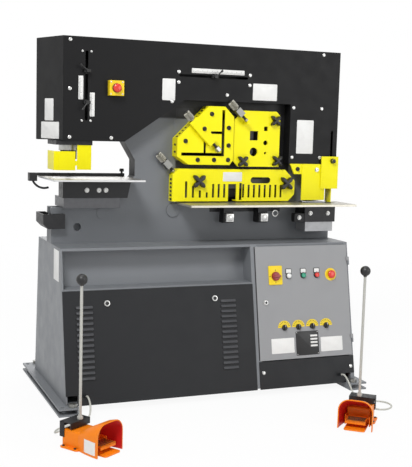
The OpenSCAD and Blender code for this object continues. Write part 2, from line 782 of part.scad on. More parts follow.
// Two yellow sheets that hang round the punch
punch_guard_left = -724;
punch_guard_mid = -629;
punch_guard_gap = 8;
punch_guard_right = -555;
punch_guard_y = -90;
punch_guard_t = 3;
punch_guard_h = 86;
punch_guard_cut = 20;
punch_guard_deep = 150;
guard_tie_w = 30;  // ties the left sheet to the right one

module punch_guard() color(guard_yellow) {
  low_z = punch_tip_z;
  x0 = punch_guard_left;
  x1 = punch_guard_left + punch_guard_cut;
  y0 = punch_guard_y;
  y1 = punch_guard_y + punch_guard_cut;
  t = punch_guard_t;
  translate([0, 0, low_z]) linear_extrude(punch_guard_h)
    polygon([[punch_guard_mid, y0], [x1, y0], [x0, y1], [x0, y0 + punch_guard_deep],
      [x0 + t, y0 + punch_guard_deep], [x0 + t, y1 + t], [x1 + t, y0 + t], [punch_guard_mid, y0 + t]]);
  block(punch_guard_mid - guard_tie_w, punch_guard_mid + punch_guard_gap + guard_tie_w, y0 + t / 2,
    y0 + 2 * t, low_z + punch_guard_h / 4, low_z + punch_guard_h / 2);
  block(punch_guard_mid + punch_guard_gap, punch_guard_right, y0, y0 + t, low_z + t, foot_plate_z);
}

// Fixed blades in the front plate
module fixed_blades() color(bright_steel) {
  upright(-half_frame, plate_t) difference() {
    angle_blade_area(0);
    angle_aperture(angle_slot);
  }
  upright(-half_frame, plate_t) bar_inserts();
  upright(-half_frame, plate_t) area(flat_left, flat_right, shear_z - flat_blade_h, shear_z);
}

// Rocking beam: a line through the lower edge of its flat blade closes level on the lower blade
beam_gap = 0.5;
half_beam = half_gap - beam_gap;
flat_overlap = 2;
moving_blade_h = 45;
beam_left = -205;
beam_shoulder_rise = 620;
beam_over_angle = 55;  // beam above the end of the angle slot
beam_top_left = -120;
beam_top_right = 430;
beam_step_x = 480;
beam_step_rise = 570;
beam_right = 665;
beam_foot_rise = 290;
beam_foot_left = 570;
beam_blade_end = 8;
beam_boss_d = 150;
beam_boss_run = 60;
beam_boss_drop = 40;
beam_step_z = deck_z + beam_step_rise;
beam_top_z = angle_low + angle_leg + beam_over_angle;
beam_foot_z = deck_z + beam_foot_rise;
function rake_z(x) = shear_z + (x - pivot_x) * tan(beam_swing) - flat_overlap;

module beam_outline() polygon([[beam_left, pivot_z], [beam_left, deck_z + beam_shoulder_rise],
  [beam_top_left, beam_top_z], [beam_top_right, beam_top_z],
  [beam_step_x, beam_step_z], [beam_right, beam_step_z], [beam_right, beam_foot_z],
  [beam_foot_left, beam_foot_z],
  [flat_right + beam_blade_end, rake_z(flat_right + beam_blade_end) + moving_blade_h],
  [flat_left - beam_blade_end, rake_z(flat_left - beam_blade_end) + moving_blade_h],
  [pivot_x + beam_boss_run, pivot_z - beam_boss_drop]]);

module shear_beam() color(base_grey) difference() {
  union() {
    upright(-half_beam, 2 * half_beam) beam_outline();
    rod_y(pivot_x, pivot_z, beam_boss_d, -half_beam, half_beam);
  }
  upright(-half_frame, 2 * half_frame) angle_blade_area(0);
  upright(-half_frame, 2 * half_frame) bar_blade_area(0);
  rod_y(pivot_x, pivot_z, pivot_d + 2 * pin_fit, -half_frame, half_frame);
}

notch_x = 620;
notch_w = 64;
notch_d = 66;
notch_h = 55;

module moving_blades() color(bright_steel) {
  upright(-half_beam, 2 * half_beam) difference() {
    angle_blade_area(0);
    angle_aperture(angle_slot);
  }
  upright(-half_beam, 2 * half_beam) bar_inserts();
  upright(-half_beam, 2 * half_beam) polygon([
    [flat_left, rake_z(flat_left)], [flat_right, rake_z(flat_right)],
    [flat_right, rake_z(flat_right) + moving_blade_h], [flat_left, rake_z(flat_left) + moving_blade_h]]);
  block(notch_x - notch_w / 2, notch_x + notch_w / 2, -notch_d / 2, notch_d / 2,
    beam_foot_z - notch_h, beam_foot_z);
}

// Shear cylinder between the plates, with a domed rod that bears on the beam
shear_barrel_d = 120;
shear_rod_d = 38;
end_block_h = 30;
rod_in = 120;  // rod inside its cylinder at rest

module shear_cylinder() color(tool_black) difference() {
  union() {
    for (z = [cylinder_low_z, cylinder_top_z - end_block_h])
      block(cylinder_x - cylinder_bay_w / 2, cylinder_x + cylinder_bay_w / 2, -half_frame, half_frame,
        z, z + end_block_h);
    rod_z(cylinder_x, 0, shear_barrel_d, cylinder_low_z, cylinder_top_z);
  }
  rod_z(cylinder_x, 0, shear_rod_d + 2 * pin_fit, cylinder_low_z - over,
    cylinder_low_z + rod_in + 2 * end_block_h);
}

module shear_rod() color(bright_steel) {
  dome_z = beam_step_z + run_gap + shear_rod_d / 2;
  rod_z(cylinder_x, 0, shear_rod_d, dome_z, cylinder_low_z + rod_in);
  translate([cylinder_x, 0, dome_z]) sphere(d = shear_rod_d);
}

// Table in front of the shears, on two brackets with large clamp bolts
shear_table_left = -120;
shear_table_right = 760;
shear_table_front = -255;
shear_table_t = 10;
bracket_xs = [134, 319];
bracket_w = 50;
bracket_d = 55;
bracket_h = 100;
clamp_bolt = 42;
clamp_bolt_h = 22;
clamp_bolt_drop = 73;
ring_x = 413;
ring_d = 34;
ring_hole = 24;
ring_t = 5;
ring_drop = 60;
die_room = 2;  // table cut-out round the notch die

module shear_table() color(bright_steel) {
  difference() {
    block(shear_table_left, shear_table_right, shear_table_front, -half_frame,
      shear_z - shear_table_t, shear_z);
    block(notch_front_left - die_room, notch_right + die_room, notch_front - die_room, over,
      shear_z - shear_table_t - over, shear_z + over);
  }
  y0 = -half_frame - bracket_d;
  for (x = bracket_xs) {
    block(x - bracket_w / 2, x + bracket_w / 2, y0, -half_frame, shear_z - bracket_h,
      shear_z - shear_table_t);
    slab(x, clamp_bolt, y0 - clamp_bolt_h, y0, shear_z - clamp_bolt_drop, clamp_bolt);
  }
  difference() {
    rod_y(ring_x, shear_z - ring_drop, ring_d, -half_frame - ring_t, -half_frame);
    rod_y(ring_x, shear_z - ring_drop, ring_hole, -half_frame - ring_t - over, -half_frame + over);
  }
}

// Notch die on its bolster, on the right arm of the frame
notch_front_left = 528;
notch_right = 699;
notch_front = -150;
notch_back = 60;
bolster_in = 8;
bolster_h = 48;
die_step_h = 17;
die_step_in = 16;
notch_swing = 9;  // room for the arc of the punch
notch_side = 4;

module notch_die() color(tool_black) difference() {
  union() {
    block(notch_front_left + bolster_in, notch_right - bolster_in, notch_front + bolster_in, notch_back,
      arm_z, arm_z + bolster_h);
    block(notch_front_left, notch_right, notch_front, notch_back, arm_z + bolster_h, shear_z - die_step_h);
    block(notch_front_left + die_step_in, notch_right - die_step_in, notch_front + die_step_in, notch_back,
      shear_z - die_step_h, shear_z);
  }
  block(notch_front_left - over, notch_wall + run_gap, -half_frame - run_gap, notch_back + over,
    arm_z - over, shear_z + over);
  block(notch_x - notch_w / 2 - notch_side, notch_x + notch_w / 2 + notch_swing, -notch_d / 2 - notch_side,
    notch_d / 2 + notch_side, arm_z + bolster_h / 2, shear_z + over);
}

// Fixed notcher guard, hung under the right cover
notch_guard_left = 520;
notch_guard_right = 651;
notch_guard_low = 12;  // above the table
notch_guard_out = 8;  // ahead of the covers
notch_bracket_left = 455;
notch_bracket_h = 51;
notch_bracket_t = 10;
notch_bracket_cut = 24;
side_guard_x = 688;
side_guard_deep = 60;
guard_hem = 18;

module notch_guard() color(guard_yellow) {
  y0 = -cover_front - notch_guard_out;
  low_z = cover_side_z - notch_bracket_h;
  upright(y0, guard_t) area(notch_guard_left, notch_guard_right, shear_z + notch_guard_low, cover_side_z);
  upright(y0 + guard_t, notch_bracket_t) polygon([[notch_bracket_left, cover_side_z],
    [notch_bracket_left + notch_bracket_cut, low_z], [side_guard_x + guard_t, low_z],
    [side_guard_x + guard_t, cover_side_z]]);
  block(side_guard_x, side_guard_x + guard_t, y0 + guard_t, y0 + side_guard_deep,
    shear_z + run_gap, low_z + guard_hem);
}

// Sliding notcher guard, clamped in the toothed slot of the cover
slide_guard_left = 624;
slide_guard_right = 720;
slide_guard_h = 162;
slide_guard_stud = 22;  // stud below the guard's top edge
slide_stud_d = 10;
slide_boss_d = 24;
slide_knob_d = 22;
slide_knob_h = 16;
slide_stand = 16;  // guard ahead of the cover

module notch_slide_guard() color(guard_yellow) {
  y0 = -cover_front - slide_stand;
  stud_z = tooth_slot_z + run_gap;
  upright(y0, guard_t) area(slide_guard_left, slide_guard_right, stud_z + slide_guard_stud - slide_guard_h,
    stud_z + slide_guard_stud);
  rod_y(tooth_slot_x, stud_z, slide_boss_d, y0 + guard_t, -cover_front - run_gap);
  rod_y(tooth_slot_x, stud_z, slide_stud_d, y0, inside_y + stop_plate_t);
  rod_y(tooth_slot_x, stud_z, slide_boss_d, inside_y, inside_y + stop_plate_t);
  rod_y(tooth_slot_x, stud_z, slide_knob_d, y0 - slide_knob_h, y0);
}

// Diagonal frame of the three hold-down screws: children's z runs up and to the left
screw_tilt = 45;

module up_left(x, y, z) translate([x, y, z]) rotate([0, -screw_tilt, 0]) children();

// Angle guard: a pan over the angle station, with its slot, and the bar that holds the screw
angle_guard_d = 70;
angle_guard_left = -146;
angle_guard_right = 142;
angle_guard_low_rise = 373;
angle_guard_h = 279;
angle_guard_brow = 156;  // sloping upper left edge
angle_guard_heel_w = 59;
angle_guard_heel_h = 38;
angle_guard_toe_w = 17;
angle_guard_toe_h = 23;
angle_guard_ear = 47;
angle_branch_w = 12;
angle_branch_l = 56;
angle_branch_rise = 106;
angle_branch_run = 107;
angle_guard_low = deck_z + angle_guard_low_rise;
angle_guard_top = angle_guard_low + angle_guard_h;
screw_d = 14;
screw_gap = 1;  // round a screw in its bore
angle_tip_x = 64;
angle_tip_rise = 442;
angle_bar_w = 46;
angle_bar_d = 26;
angle_bar_from = 50;
angle_bar_l = 150;
angle_screw_y = -half_frame - angle_guard_d - angle_bar_d / 2;
angle_tip_z = deck_z + angle_tip_rise;

// The guard's outline, with each edge drawn in by t
module angle_guard_outline(t) {
  l = angle_guard_left + t;
  r = angle_guard_right - t;
  b = angle_guard_low + t;
  u = angle_guard_top - t;
  c = t * corner_share;
  polygon([[l + angle_guard_heel_w - c, b], [r - angle_guard_toe_w + c, b], [r, b + angle_guard_toe_h - c],
    [r, u - angle_guard_ear + c], [r - angle_guard_ear + c, u], [l + angle_guard_brow - c, u],
    [l, u - angle_guard_brow + c], [l, b + angle_guard_heel_h - c]]);
}

module angle_guard() color(guard_yellow) {
  y0 = -half_frame - angle_guard_d;
  difference() {
    upright(y0, angle_guard_d) angle_guard_outline(0);
    upright(y0 + guard_t, angle_guard_d) angle_guard_outline(guard_t);
    upright(y0 - over, guard_t + 2 * over) {
      angle_aperture(angle_slot);
      area(angle_right - angle_slot - angle_branch_l, angle_right - angle_slot + over,
        angle_low + angle_branch_rise, angle_low + angle_branch_rise + angle_branch_w);
      area(angle_right - angle_branch_run, angle_right - angle_branch_run + angle_branch_w,
        angle_low + angle_slot - over, angle_low + angle_slot + angle_branch_l);
    }
  }
  up_left(angle_tip_x, angle_screw_y, angle_tip_z) difference() {
    translate([-angle_bar_w / 2, -angle_bar_d / 2, angle_bar_from])
      cube([angle_bar_w, angle_bar_d + guard_t / 2, angle_bar_l]);
    translate([0, 0, angle_bar_from - over])
      cylinder(h = angle_bar_l + 2 * over, d = screw_d + 2 * screw_gap);
  }
}

// Hold-down screws: a shank with a fluted knob, and a hexagon pad on the angle station
knob_d = 34;
knob_l = 42;
knob_neck = 6;
pad_d = 29;
pad_l = 22;
hexagon = 6;
dodecagon = 12;

module hold_down(from, to) {
  translate([0, 0, from]) cylinder(h = to - from, d = screw_d);
  translate([0, 0, to]) cylinder(h = knob_l, d = knob_d, $fn = dodecagon);
}

module angle_pad() color(bright_steel)
  up_left(angle_tip_x, angle_screw_y, angle_tip_z) cylinder(h = pad_l, d = pad_d, $fn = hexagon);

module angle_screw() color(bright_steel) up_left(angle_tip_x, angle_screw_y, angle_tip_z)
  hold_down(pad_l + run_gap, angle_bar_from + angle_bar_l + knob_neck);

// Bar plate, on sleeves, free to slide up to the left along its slots
bar_plate_t = 10;
bar_stand = 45;
bar_plate_left = 150;
bar_plate_right = 397;
bar_plate_low_rise = 366;
bar_plate_h = 271;
bar_plate_brow = 48;
bar_plate_ear = 21;
bar_plate_heel = 26;
bar_travel = 8;
bar_plate_low = deck_z + bar_plate_low_rise;
bar_plate_top = bar_plate_low + bar_plate_h;
bar_plate_y = -half_frame - bar_stand - bar_plate_t;
stud_d = 12;
slot_w = 14;
sleeve_d = 26;
slot_end = 4;  // past the stud at each end of its travel
bar_stud_shares = [[0.887, 0.834], [0.198, 0.095], [0.947, 0.110]];
bar_studs = [for (s = bar_stud_shares) [bar_plate_left + s.x * (bar_plate_right - bar_plate_left),
  bar_plate_low + s.y * bar_plate_h]];
bar_screw_x = 163;
bar_screw_rise = 627;
bar_screw_z = deck_z + bar_screw_rise;
bar_screw_tip = 56;  // tip past the middle of its block
bar_lug_d = 20;
screw_stand = 15;  // block ahead of the plate
screw_block_w = 30;
screw_block_l = 40;
bar_screw_y = bar_plate_y - screw_stand - screw_block_w / 2;
diagonal = [-1, 1] / sqrt(2);

module stud_slots(studs, travel) for (p = studs)
  slot_between(p + diagonal * slot_end, p - diagonal * (travel + slot_end), slot_w);

module bar_plate() color(guard_yellow) {
  upright(bar_plate_y, bar_plate_t) difference() {
    polygon([[bar_plate_left + bar_plate_heel, bar_plate_low], [bar_plate_right, bar_plate_low],
      [bar_plate_right, bar_plate_top - bar_plate_ear], [bar_plate_right - bar_plate_ear, bar_plate_top],
      [bar_plate_left + bar_plate_brow, bar_plate_top], [bar_plate_left, bar_plate_top - bar_plate_brow],
      [bar_plate_left, bar_plate_low + bar_plate_heel]]);
    bar_apertures();
    stud_slots(bar_studs, bar_travel);
  }
  lug = [bar_screw_x, bar_screw_z] - diagonal * (bar_screw_tip + bar_lug_d / 2 + run_gap);
  rod_y(lug.x, lug.y, bar_lug_d, bar_screw_y - bar_lug_d / 2, bar_plate_y);
}

module bar_screw() color(bright_steel) up_left(bar_screw_x, bar_screw_y, bar_screw_z)
  hold_down(-bar_screw_tip, screw_block_l / 2 + knob_neck);

// Flat guard: a pan over the flat station with sight slits, sliding like the bar plate
flat_guard_d = 50;
flat_guard_left = -159;
flat_guard_right = 492;
flat_guard_low_gap = 6;  // above the table
flat_guard_h = 156;
flat_guard_brow = 29;
flat_guard_ear = 55;
flat_guard_heel = 34;
flat_travel = 16;
flat_guard_low = shear_z + flat_guard_low_gap;
flat_guard_top = flat_guard_low + flat_guard_h;
flat_guard_y = -half_frame - flat_guard_d;
flat_guard_w = flat_guard_right - flat_guard_left;
function flat_x(share) = flat_guard_left + share * flat_guard_w;
function flat_z(share) = flat_guard_low + share * flat_guard_h;
slit_w = 11;
slit_low = 18;
slit_shares = [0.10, 0.155, 0.21, 0.265, 0.315, 0.36, 0.405, 0.56, 0.605,
  0.65, 0.695, 0.74, 0.785, 0.83, 0.875];
slit_height_shares = [0.5, 0.36, 0.22, 0.16, 0.42, 0.42, 0.42, 0.42, 0.4, 0.4, 0.4, 0.4, 0.4, 0.4, 0.4];
window_left_share = 0.445;
window_w = 42;
window_h = 84;
gate_left_share = 0.535;
gate_w = 14;
oval_left_share = 0.65;
oval_l = 78;
oval_rise_share = 0.66;
oval_w = 30;
oval_x = flat_x(oval_left_share);
oval_z = flat_z(oval_rise_share);
flat_stud_shares = [[0.206, 0.62], [0.926, 0.57]];
flat_studs = [for (s = flat_stud_shares) [flat_x(s.x), flat_z(s.y)]];
flat_slot_extra = 22;
flat_screw_x = flat_guard_left + flat_guard_brow / 2;
flat_screw_z = flat_guard_top - flat_guard_brow / 2;
flat_screw_y = flat_guard_y + flat_guard_d / 2;
flat_block_from = 28;

module flat_guard_outline(t) {
  l = flat_guard_left + t;
  r = flat_guard_right - t;
  b = flat_guard_low + t;
  u = flat_guard_top - t;
  c = t * corner_share;
  polygon([[l, b], [r - flat_guard_heel + c, b], [r, b + flat_guard_heel - c], [r, u - flat_guard_ear + c],
    [r - flat_guard_ear + c, u], [l + flat_guard_brow - c, u], [l, u - flat_guard_brow + c]]);
}

module flat_guard() color(guard_yellow) {
  difference() {
    upright(flat_guard_y, flat_guard_d - run_gap) flat_guard_outline(0);
    upright(flat_guard_y + guard_t, flat_guard_d) flat_guard_outline(guard_t);
    upright(flat_guard_y - over, guard_t + 2 * over) {
      for (i = [0 : len(slit_shares) - 1]) translate([flat_x(slit_shares[i]), flat_guard_low + slit_low])
        square([slit_w, slit_height_shares[i] * flat_guard_h]);
      translate([flat_x(gate_left_share), flat_guard_low + guard_t]) square([gate_w, window_h]);
      slot_between([oval_x, oval_z], [oval_x + oval_l, oval_z], oval_w);
      for (p = flat_studs)
        slot_between(p + diagonal * flat_slot_extra, p - diagonal * (flat_travel + slot_end), slot_w);
    }
    window_x = flat_x(window_left_share);
    block(window_x, window_x + window_w, flat_guard_y - over, -half_frame, flat_guard_low - over,
      flat_guard_low + window_h);
  }
}

module flat_screw() color(bright_steel) up_left(flat_screw_x, flat_screw_y, flat_screw_z)
  hold_down(run_gap, flat_block_from + screw_block_l + knob_neck);

// Star knobs on the studs that clamp the flat guard and the bar plate
star_d = 30;
star_reach = 32;
flat_star_reach = 40;
star_arm = 16;
star_h = 24;
star_arms = 4;

module star(x, z, y, reach) {
  upright(y - star_h, star_h) translate([x, z]) {
    circle(d = star_d);
    for (i = [0 : star_arms - 1]) rotate((i + half_share) * 360 / star_arms)
      slot_between([0, 0], [reach - star_arm / 2, 0], star_arm);
  }
  rod_y(x, z, stud_d, y, -half_frame);
}

module star_knobs() color(tool_black) {
  for (p = flat_studs) star(p.x, p.y, flat_guard_y - run_gap, flat_star_reach);
  for (p = bar_studs) star(p.x, p.y, bar_plate_y - run_gap, star_reach);
}

// Screws, sleeves, levelling bolts and the blocks that the hold-down screws turn in
screw_head_d = 16;
screw_head_h = 4;
screw_in = 32;  // from the covers' edges
lock_d = 26;
lock_h = 8;
lock_in = 200;  // panel locks from the panel's edges
lock_drop = 59;
kick_screw_in = 20;
kick_screw_z = 106;
level_head_d = 32;
level_head_h = 14;
level_y = (rail_l - rail_past) / 2;
level_x = (rail_in + half_w) / 2;

screw_left = cover_left + screw_in;
screw_mid = cover_inner_x + screw_in / 2;
screw_right = cover_right - 3 * screw_in;
screw_top = cover_top_z - screw_in / 2;
screw_low = cover_low_z + screw_in / 2;
gauge_ends = [gauge_slot_x - screw_in / 4, gauge_slot_x + gauge_slot_l + screw_in / 2];
cover_screws = concat([[screw_left, screw_top], [screw_left, (cover_top_z + cover_low_z) / 2],
  [screw_left, screw_low], [cover_brow_x - 2 * screw_in, screw_low], [screw_right, screw_top],
  [cover_mid_x - 2 * screw_in, cover_mid_z - screw_in / 4],
  [(cover_mid_x + cover_inner_x) / 2 - 2 * screw_in, cover_mid_z + screw_in]],
  [for (x = [screw_mid, screw_right], z = [cover_mid_z - screw_in / 2, cover_side_z + screw_in]) [x, z]],
  [for (x = gauge_ends, z = [gauge_slot_z + screw_in / 2, gauge_slot_z - screw_in]) [x, z]]);

module screw_block(from, through) difference() {
  translate([-screw_block_w / 2, -screw_block_w / 2, from])
    cube([screw_block_w, screw_block_w, screw_block_l]);
  translate([0, 0, from - over]) cylinder(h = screw_block_l + 2 * over, d = through);
}

module fasteners() color(bright_steel) {
  for (p = cover_screws) rod_y(p.x, p.y, screw_head_d, -cover_front - screw_head_h, -cover_front);
  for (x = [panel_left + lock_in, panel_right - lock_in])
    on_panel(x, shelf_low_z - lock_drop) cylinder(h = lock_h, d = lock_d);
  for (x = [kick_left + kick_screw_in, kick_right - kick_screw_in])
    on_panel(x, kick_screw_z) cylinder(h = screw_head_h, d = screw_head_d);
  for (x = [-level_x, level_x]) for (y = [-level_y, level_y])
    rod_z(x, y, level_head_d, rail_h, rail_h + level_head_h);
  for (p = bar_studs) difference() {
    rod_y(p.x, p.y, sleeve_d, bar_plate_y + bar_plate_t + run_gap, -half_frame);
    rod_y(p.x, p.y, stud_d + 2 * pin_fit, bar_plate_y, -half_frame + over);
  }
  // block of the flat screw, straight on the frame, and the bar screw's on its post
  up_left(flat_screw_x, flat_screw_y, flat_screw_z) screw_block(flat_block_from, screw_d + 2 * screw_gap);
  flat_post = [flat_screw_x, flat_screw_z] + diagonal * (flat_block_from + screw_block_l / 2);
  rod_y(flat_post.x, flat_post.y, screw_block_w, flat_screw_y + screw_block_w / 2 - over / 2, -half_frame);
  up_left(bar_screw_x, bar_screw_y, bar_screw_z) screw_block(-screw_block_l / 2, screw_d + 2 * screw_gap);
  bar_post = [bar_screw_x, bar_screw_z] + diagonal * screw_block_l / 4;
  rod_y(bar_post.x, bar_post.y, sleeve_d - over, bar_screw_y + screw_block_w / 2 - over / 2, -half_frame);
}

// Hydraulic power unit in the left bay: tank, motor, pump and valve block
tank_left = -640;
tank_l = 460;
tank_half = 170;
tank_h = 240;
motor_d = 170;
motor_l = 260;
motor_foot = 40;
pump_d = 90;
pump_l = 120;
valve = 110;

module hydraulic_unit() color(base_grey) {
  tank_z = rail_h + pan_t + run_gap;
  tank_top = tank_z + tank_h;
  tank_right = tank_left + tank_l;
  motor_z = tank_top + motor_foot + motor_d / 2;
  motor_right = tank_left + motor_l;
  block(tank_left, tank_right, -tank_half, tank_half, tank_z, tank_top);
  rod_x(0, motor_z, motor_d, tank_left, motor_right);
  block(tank_left + motor_foot, motor_right - motor_foot, -motor_d / 3, motor_d / 3,
    tank_top + run_gap, motor_z);
  rod_x(0, motor_z, pump_d, motor_right + run_gap, motor_right + pump_l);
  block(tank_right - valve, tank_right, tank_half - valve, tank_half, tank_top + run_gap, tank_top + valve);
}

// Switchgear on a plate at the back of the right bay
gear_plate_y = 130;
gear_plate_t = 3;
gear_in = 40;
gear_top = 560;
gear_w = 48;
gear_h = 84;
gear_d = 70;
gear_step = 62;
gear_count = 6;
gear_rows = 2;
gear_low = 120;
gear_row_step = 200;

module control_gear() color(bright_steel) {
  plate_left = post_right + gear_in;
  block(plate_left, half_w - side_t - gear_in, gear_plate_y, gear_plate_y + gear_plate_t, rail_h + pan_t,
    rail_h + gear_top);
  for (k = [0 : gear_rows - 1]) for (i = [0 : gear_count - 1]) {
    x = plate_left + gear_in / 2 + i * gear_step;
    z = rail_h + gear_low + k * gear_row_step;
    block(x, x + gear_w, gear_plate_y - gear_d, gear_plate_y, z, z + gear_h);
  }
}

// Door in the sloping front, and what is mounted on it
control_z = 555;
switch_x = 318;
switch_w = 72;
switch_t = 5;
switch_knob_d = 44;
switch_knob_h = 16;
grip_w = 12;
lamp_x = 390;
start_x = 470;
stop_x = 544;
door_estop_x = 622;
button_d = 22;
button_in = 14;
button_travel = 3;
button_down = 5;  // still stands out when pressed
button_out = button_down + button_travel;
bezel_d = 30;
bezel_h = 4;
collar_d = 62;
collar_h = 3;
lamp_d = 24;
lamp_h = 14;
selector_x = 353;
selector_pitch = 76;
selector_count = 4;
selector_xs = [for (i = [0 : selector_count - 1]) selector_x + i * selector_pitch];
selector_z = 311;
selector_d = 28;
selector_h = 14;
dial_d = 68;
dial_t = 1;
lock_x = 259;
lock_z = 433;
door_lock_d = 26;
door_lock_h = 10;

module cabinet_door() color(door_grey) {
  difference() {
    front_sheet(door_left, door_right, door_low_z, door_top_z, panel_t);
    for (x = [start_x, stop_x, door_estop_x])
      on_front(x, control_z) translate([0, 0, -over])
        cylinder(h = panel_t + 2 * over, d = button_d + 2 * bore_gap);
  }
  // upper halves of the hinges
  for (z = hinge_zs) on_front(hinge_x, z) translate([0, knuckle_h / 2 + run_gap, 0]) difference() {
    union() {
      translate([0, 0, hinge_out]) rotate([-90, 0, 0]) cylinder(h = knuckle_h / 2, d = knuckle_d);
      translate([-knuckle_d, 0, panel_t])
        cube([knuckle_d, knuckle_h / 2, hinge_out - panel_t + knuckle_d / 3]);
    }
    translate([0, -over, hinge_out]) rotate([-90, 0, 0])
      cylinder(h = knuckle_h + 2 * over, d = hinge_pin_d + 2 * pin_fit);
  }
}

module ring(d, hole, h) difference() {
  cylinder(h = h, d = d);
  translate([0, 0, -over]) cylinder(h = h + 2 * over, d = hole);
}

module door_fittings() color(guard_yellow) {
  on_panel(switch_x, control_z) translate([-switch_w / 2, -switch_w / 2])
    cube([switch_w, switch_w, switch_t]);
  on_panel(lamp_x, control_z) cylinder(h = bezel_h, d = bezel_d);
  on_panel(lamp_x, control_z, bezel_h) cylinder(h = lamp_h - bezel_h, d = lamp_d);
  for (x = [start_x, stop_x])
    on_panel(x, control_z) ring(bezel_d, button_d + 2 * bore_gap, bezel_h);
  on_panel(door_estop_x, control_z) ring(collar_d, button_d + 2 * bore_gap, collar_h);
  for (x = selector_xs) on_panel(x, selector_z) intersection() {
    cylinder(h = dial_t, d = dial_d);
    translate([-dial_d / 2, 0, -over]) cube([dial_d, dial_d, dial_t + 2 * over]);
  }
}

module push_button(x) on_panel(x, control_z, button_out - button_in)
  cylinder(h = button_in + bezel_h, d = button_d);

module start_button() color(button_green) push_button(start_x);

module stop_button() color(button_red) push_button(stop_x);

module door_estop() color(button_red) on_panel(door_estop_x, control_z, collar_h) mushroom();

// Rotary knob: a round skirt with a straight grip across it
module grip_knob(d, h) {
  cylinder(h = h / 2, d = d);
  translate([-grip_w / 2, -d / 2, h / 2]) cube([grip_w, d, h / 2]);
}

module main_switch_knob() color(button_red) on_panel(switch_x, control_z, switch_t + run_gap)
  rotate(90) grip_knob(switch_knob_d, switch_knob_h);

module selector_knob(i) color(tool_black) on_panel(selector_xs[i], selector_z, dial_t + run_gap)
  grip_knob(selector_d, selector_h);

module door_lock() color(tool_black) on_panel(lock_x, lock_z, run_gap) grip_knob(door_lock_d, door_lock_h);

// Foot pedals: mouth at the local origin, facing -Y, then turned to stand on the floor
left_pedal_x = -680;
left_pedal_y = -896;
right_pedal_x = 385;
right_pedal_y = -935;
left_pedal = [left_pedal_x, left_pedal_y, 33];
right_pedal = [right_pedal_x, right_pedal_y, -41];
pedal_wall = 5;
sole_t = 6;
sole_front = 18;
tongue_half = 45;
sole_half = 68;
pedal_l = 205;
case_half = 52;
case_y = 95;
case_h = 72;
hood_l = 115;
hood_round = 50;
ear_in = 50;
ear_t = 5;
ear_y = 74;
ear_w = 20;
treadle_pin_d = 6;
treadle_z = 34;
treadle_half = 44;
treadle_front = 8;
treadle_t = 6;
treadle_lip = 12;
pedal_gland_d = 14;
pedal_gland_l = 20;
pedal_gland_z = 40;
bracket_t = 4;
bracket_top = 102;
bracket_y = 154;
bracket_past = 9;  // behind the case
bracket_leg = 24;
bracket_foot = 40;
handle_d = 12;
handle_x = 12;  // towards the other pedal
handle_y = 168;
handle_foot_d = 24;
handle_foot_h = 12;

module pedal_at(place) translate([place.x, place.y, 0]) rotate(place.z) children();

module arch(w, h, r) {
  translate([-w / 2, 0]) square([w, h - r]);
  translate([-w / 2 + r, 0]) square([w - 2 * r, h]);
  for (x = [-w / 2 + r, w / 2 - r]) translate([x, h - r]) circle(r = r, $fn = 32);
}

module hood_form(t) hull() {
  upright(-t * half_share, pedal_wall + t * half_share) arch(hood_w - 2 * t, hood_h - t, hood_round - t);
  upright(hood_l - pedal_wall, pedal_wall + t * half_share) arch(2 * case_half + pedal_wall - 2 * t,
    case_h + pedal_wall - t, hood_round / 2 - t);
}

module pedal_bodies() color(pedal_orange) for (place = [left_pedal, right_pedal]) pedal_at(place) {
  block(-tongue_half, tongue_half, -sole_front, hood_l, 0, sole_t);
  difference() {
    hood_form(0);
    translate([0, 0, -over]) hood_form(pedal_wall);
  }
  block(-case_half, case_half, case_y, pedal_l, 0, case_h);
  block(-sole_half, sole_half, hood_l - pedal_wall, pedal_l, 0, sole_t);
  for (x = [-ear_in - ear_t, ear_in]) difference() {
    block(x, x + ear_t, ear_y - ear_w / 2, ear_y + ear_w + ear_t, 0, treadle_z + ear_w / 2);
    rod_x(ear_y, treadle_z, treadle_pin_d + 2 * pin_fit, x - over, x + ear_t + over);
  }
  rod_y(0, pedal_gland_z, pedal_gland_d, pedal_l, pedal_l + pedal_gland_l);
}

module treadle(place) color(pedal_orange) pedal_at(place) {
  rod_x(ear_y, treadle_z, treadle_pin_d, -ear_in - ear_t, ear_in + ear_t);
  block(-treadle_half, treadle_half, treadle_front, ear_y + treadle_t, treadle_z - treadle_t / 2,
    treadle_z + treadle_t / 2);
  block(-treadle_half, treadle_half, treadle_front, treadle_front + treadle_t, treadle_z - treadle_lip,
    treadle_z + treadle_t / 2);
}

module left_treadle() treadle(left_pedal);

module right_treadle() treadle(right_pedal);

module pedal_handles() color(tool_black) for (place = [left_pedal, right_pedal]) pedal_at(place) {
  half = case_half + bracket_t;
  back = pedal_l + bracket_past;
  low = case_h + bracket_t;
  block(-half, half, bracket_y, back, bracket_top - bracket_t, bracket_top);
  for (y = [bracket_y, back - bracket_t]) block(-half, half, y, y + bracket_t, low, bracket_top);
  for (x = [-half, case_half]) block(x, x + bracket_t, back - bracket_leg, back, bracket_foot, bracket_top);
  translate([sign(place.z) * handle_x, handle_y, 0]) {
    rod_z(0, 0, handle_foot_d, bracket_top, bracket_top + handle_foot_h);
    rod_z(0, 0, handle_d, bracket_top, handle_h);
    translate([0, 0, handle_h]) sphere(d = ball_d);
  }
}

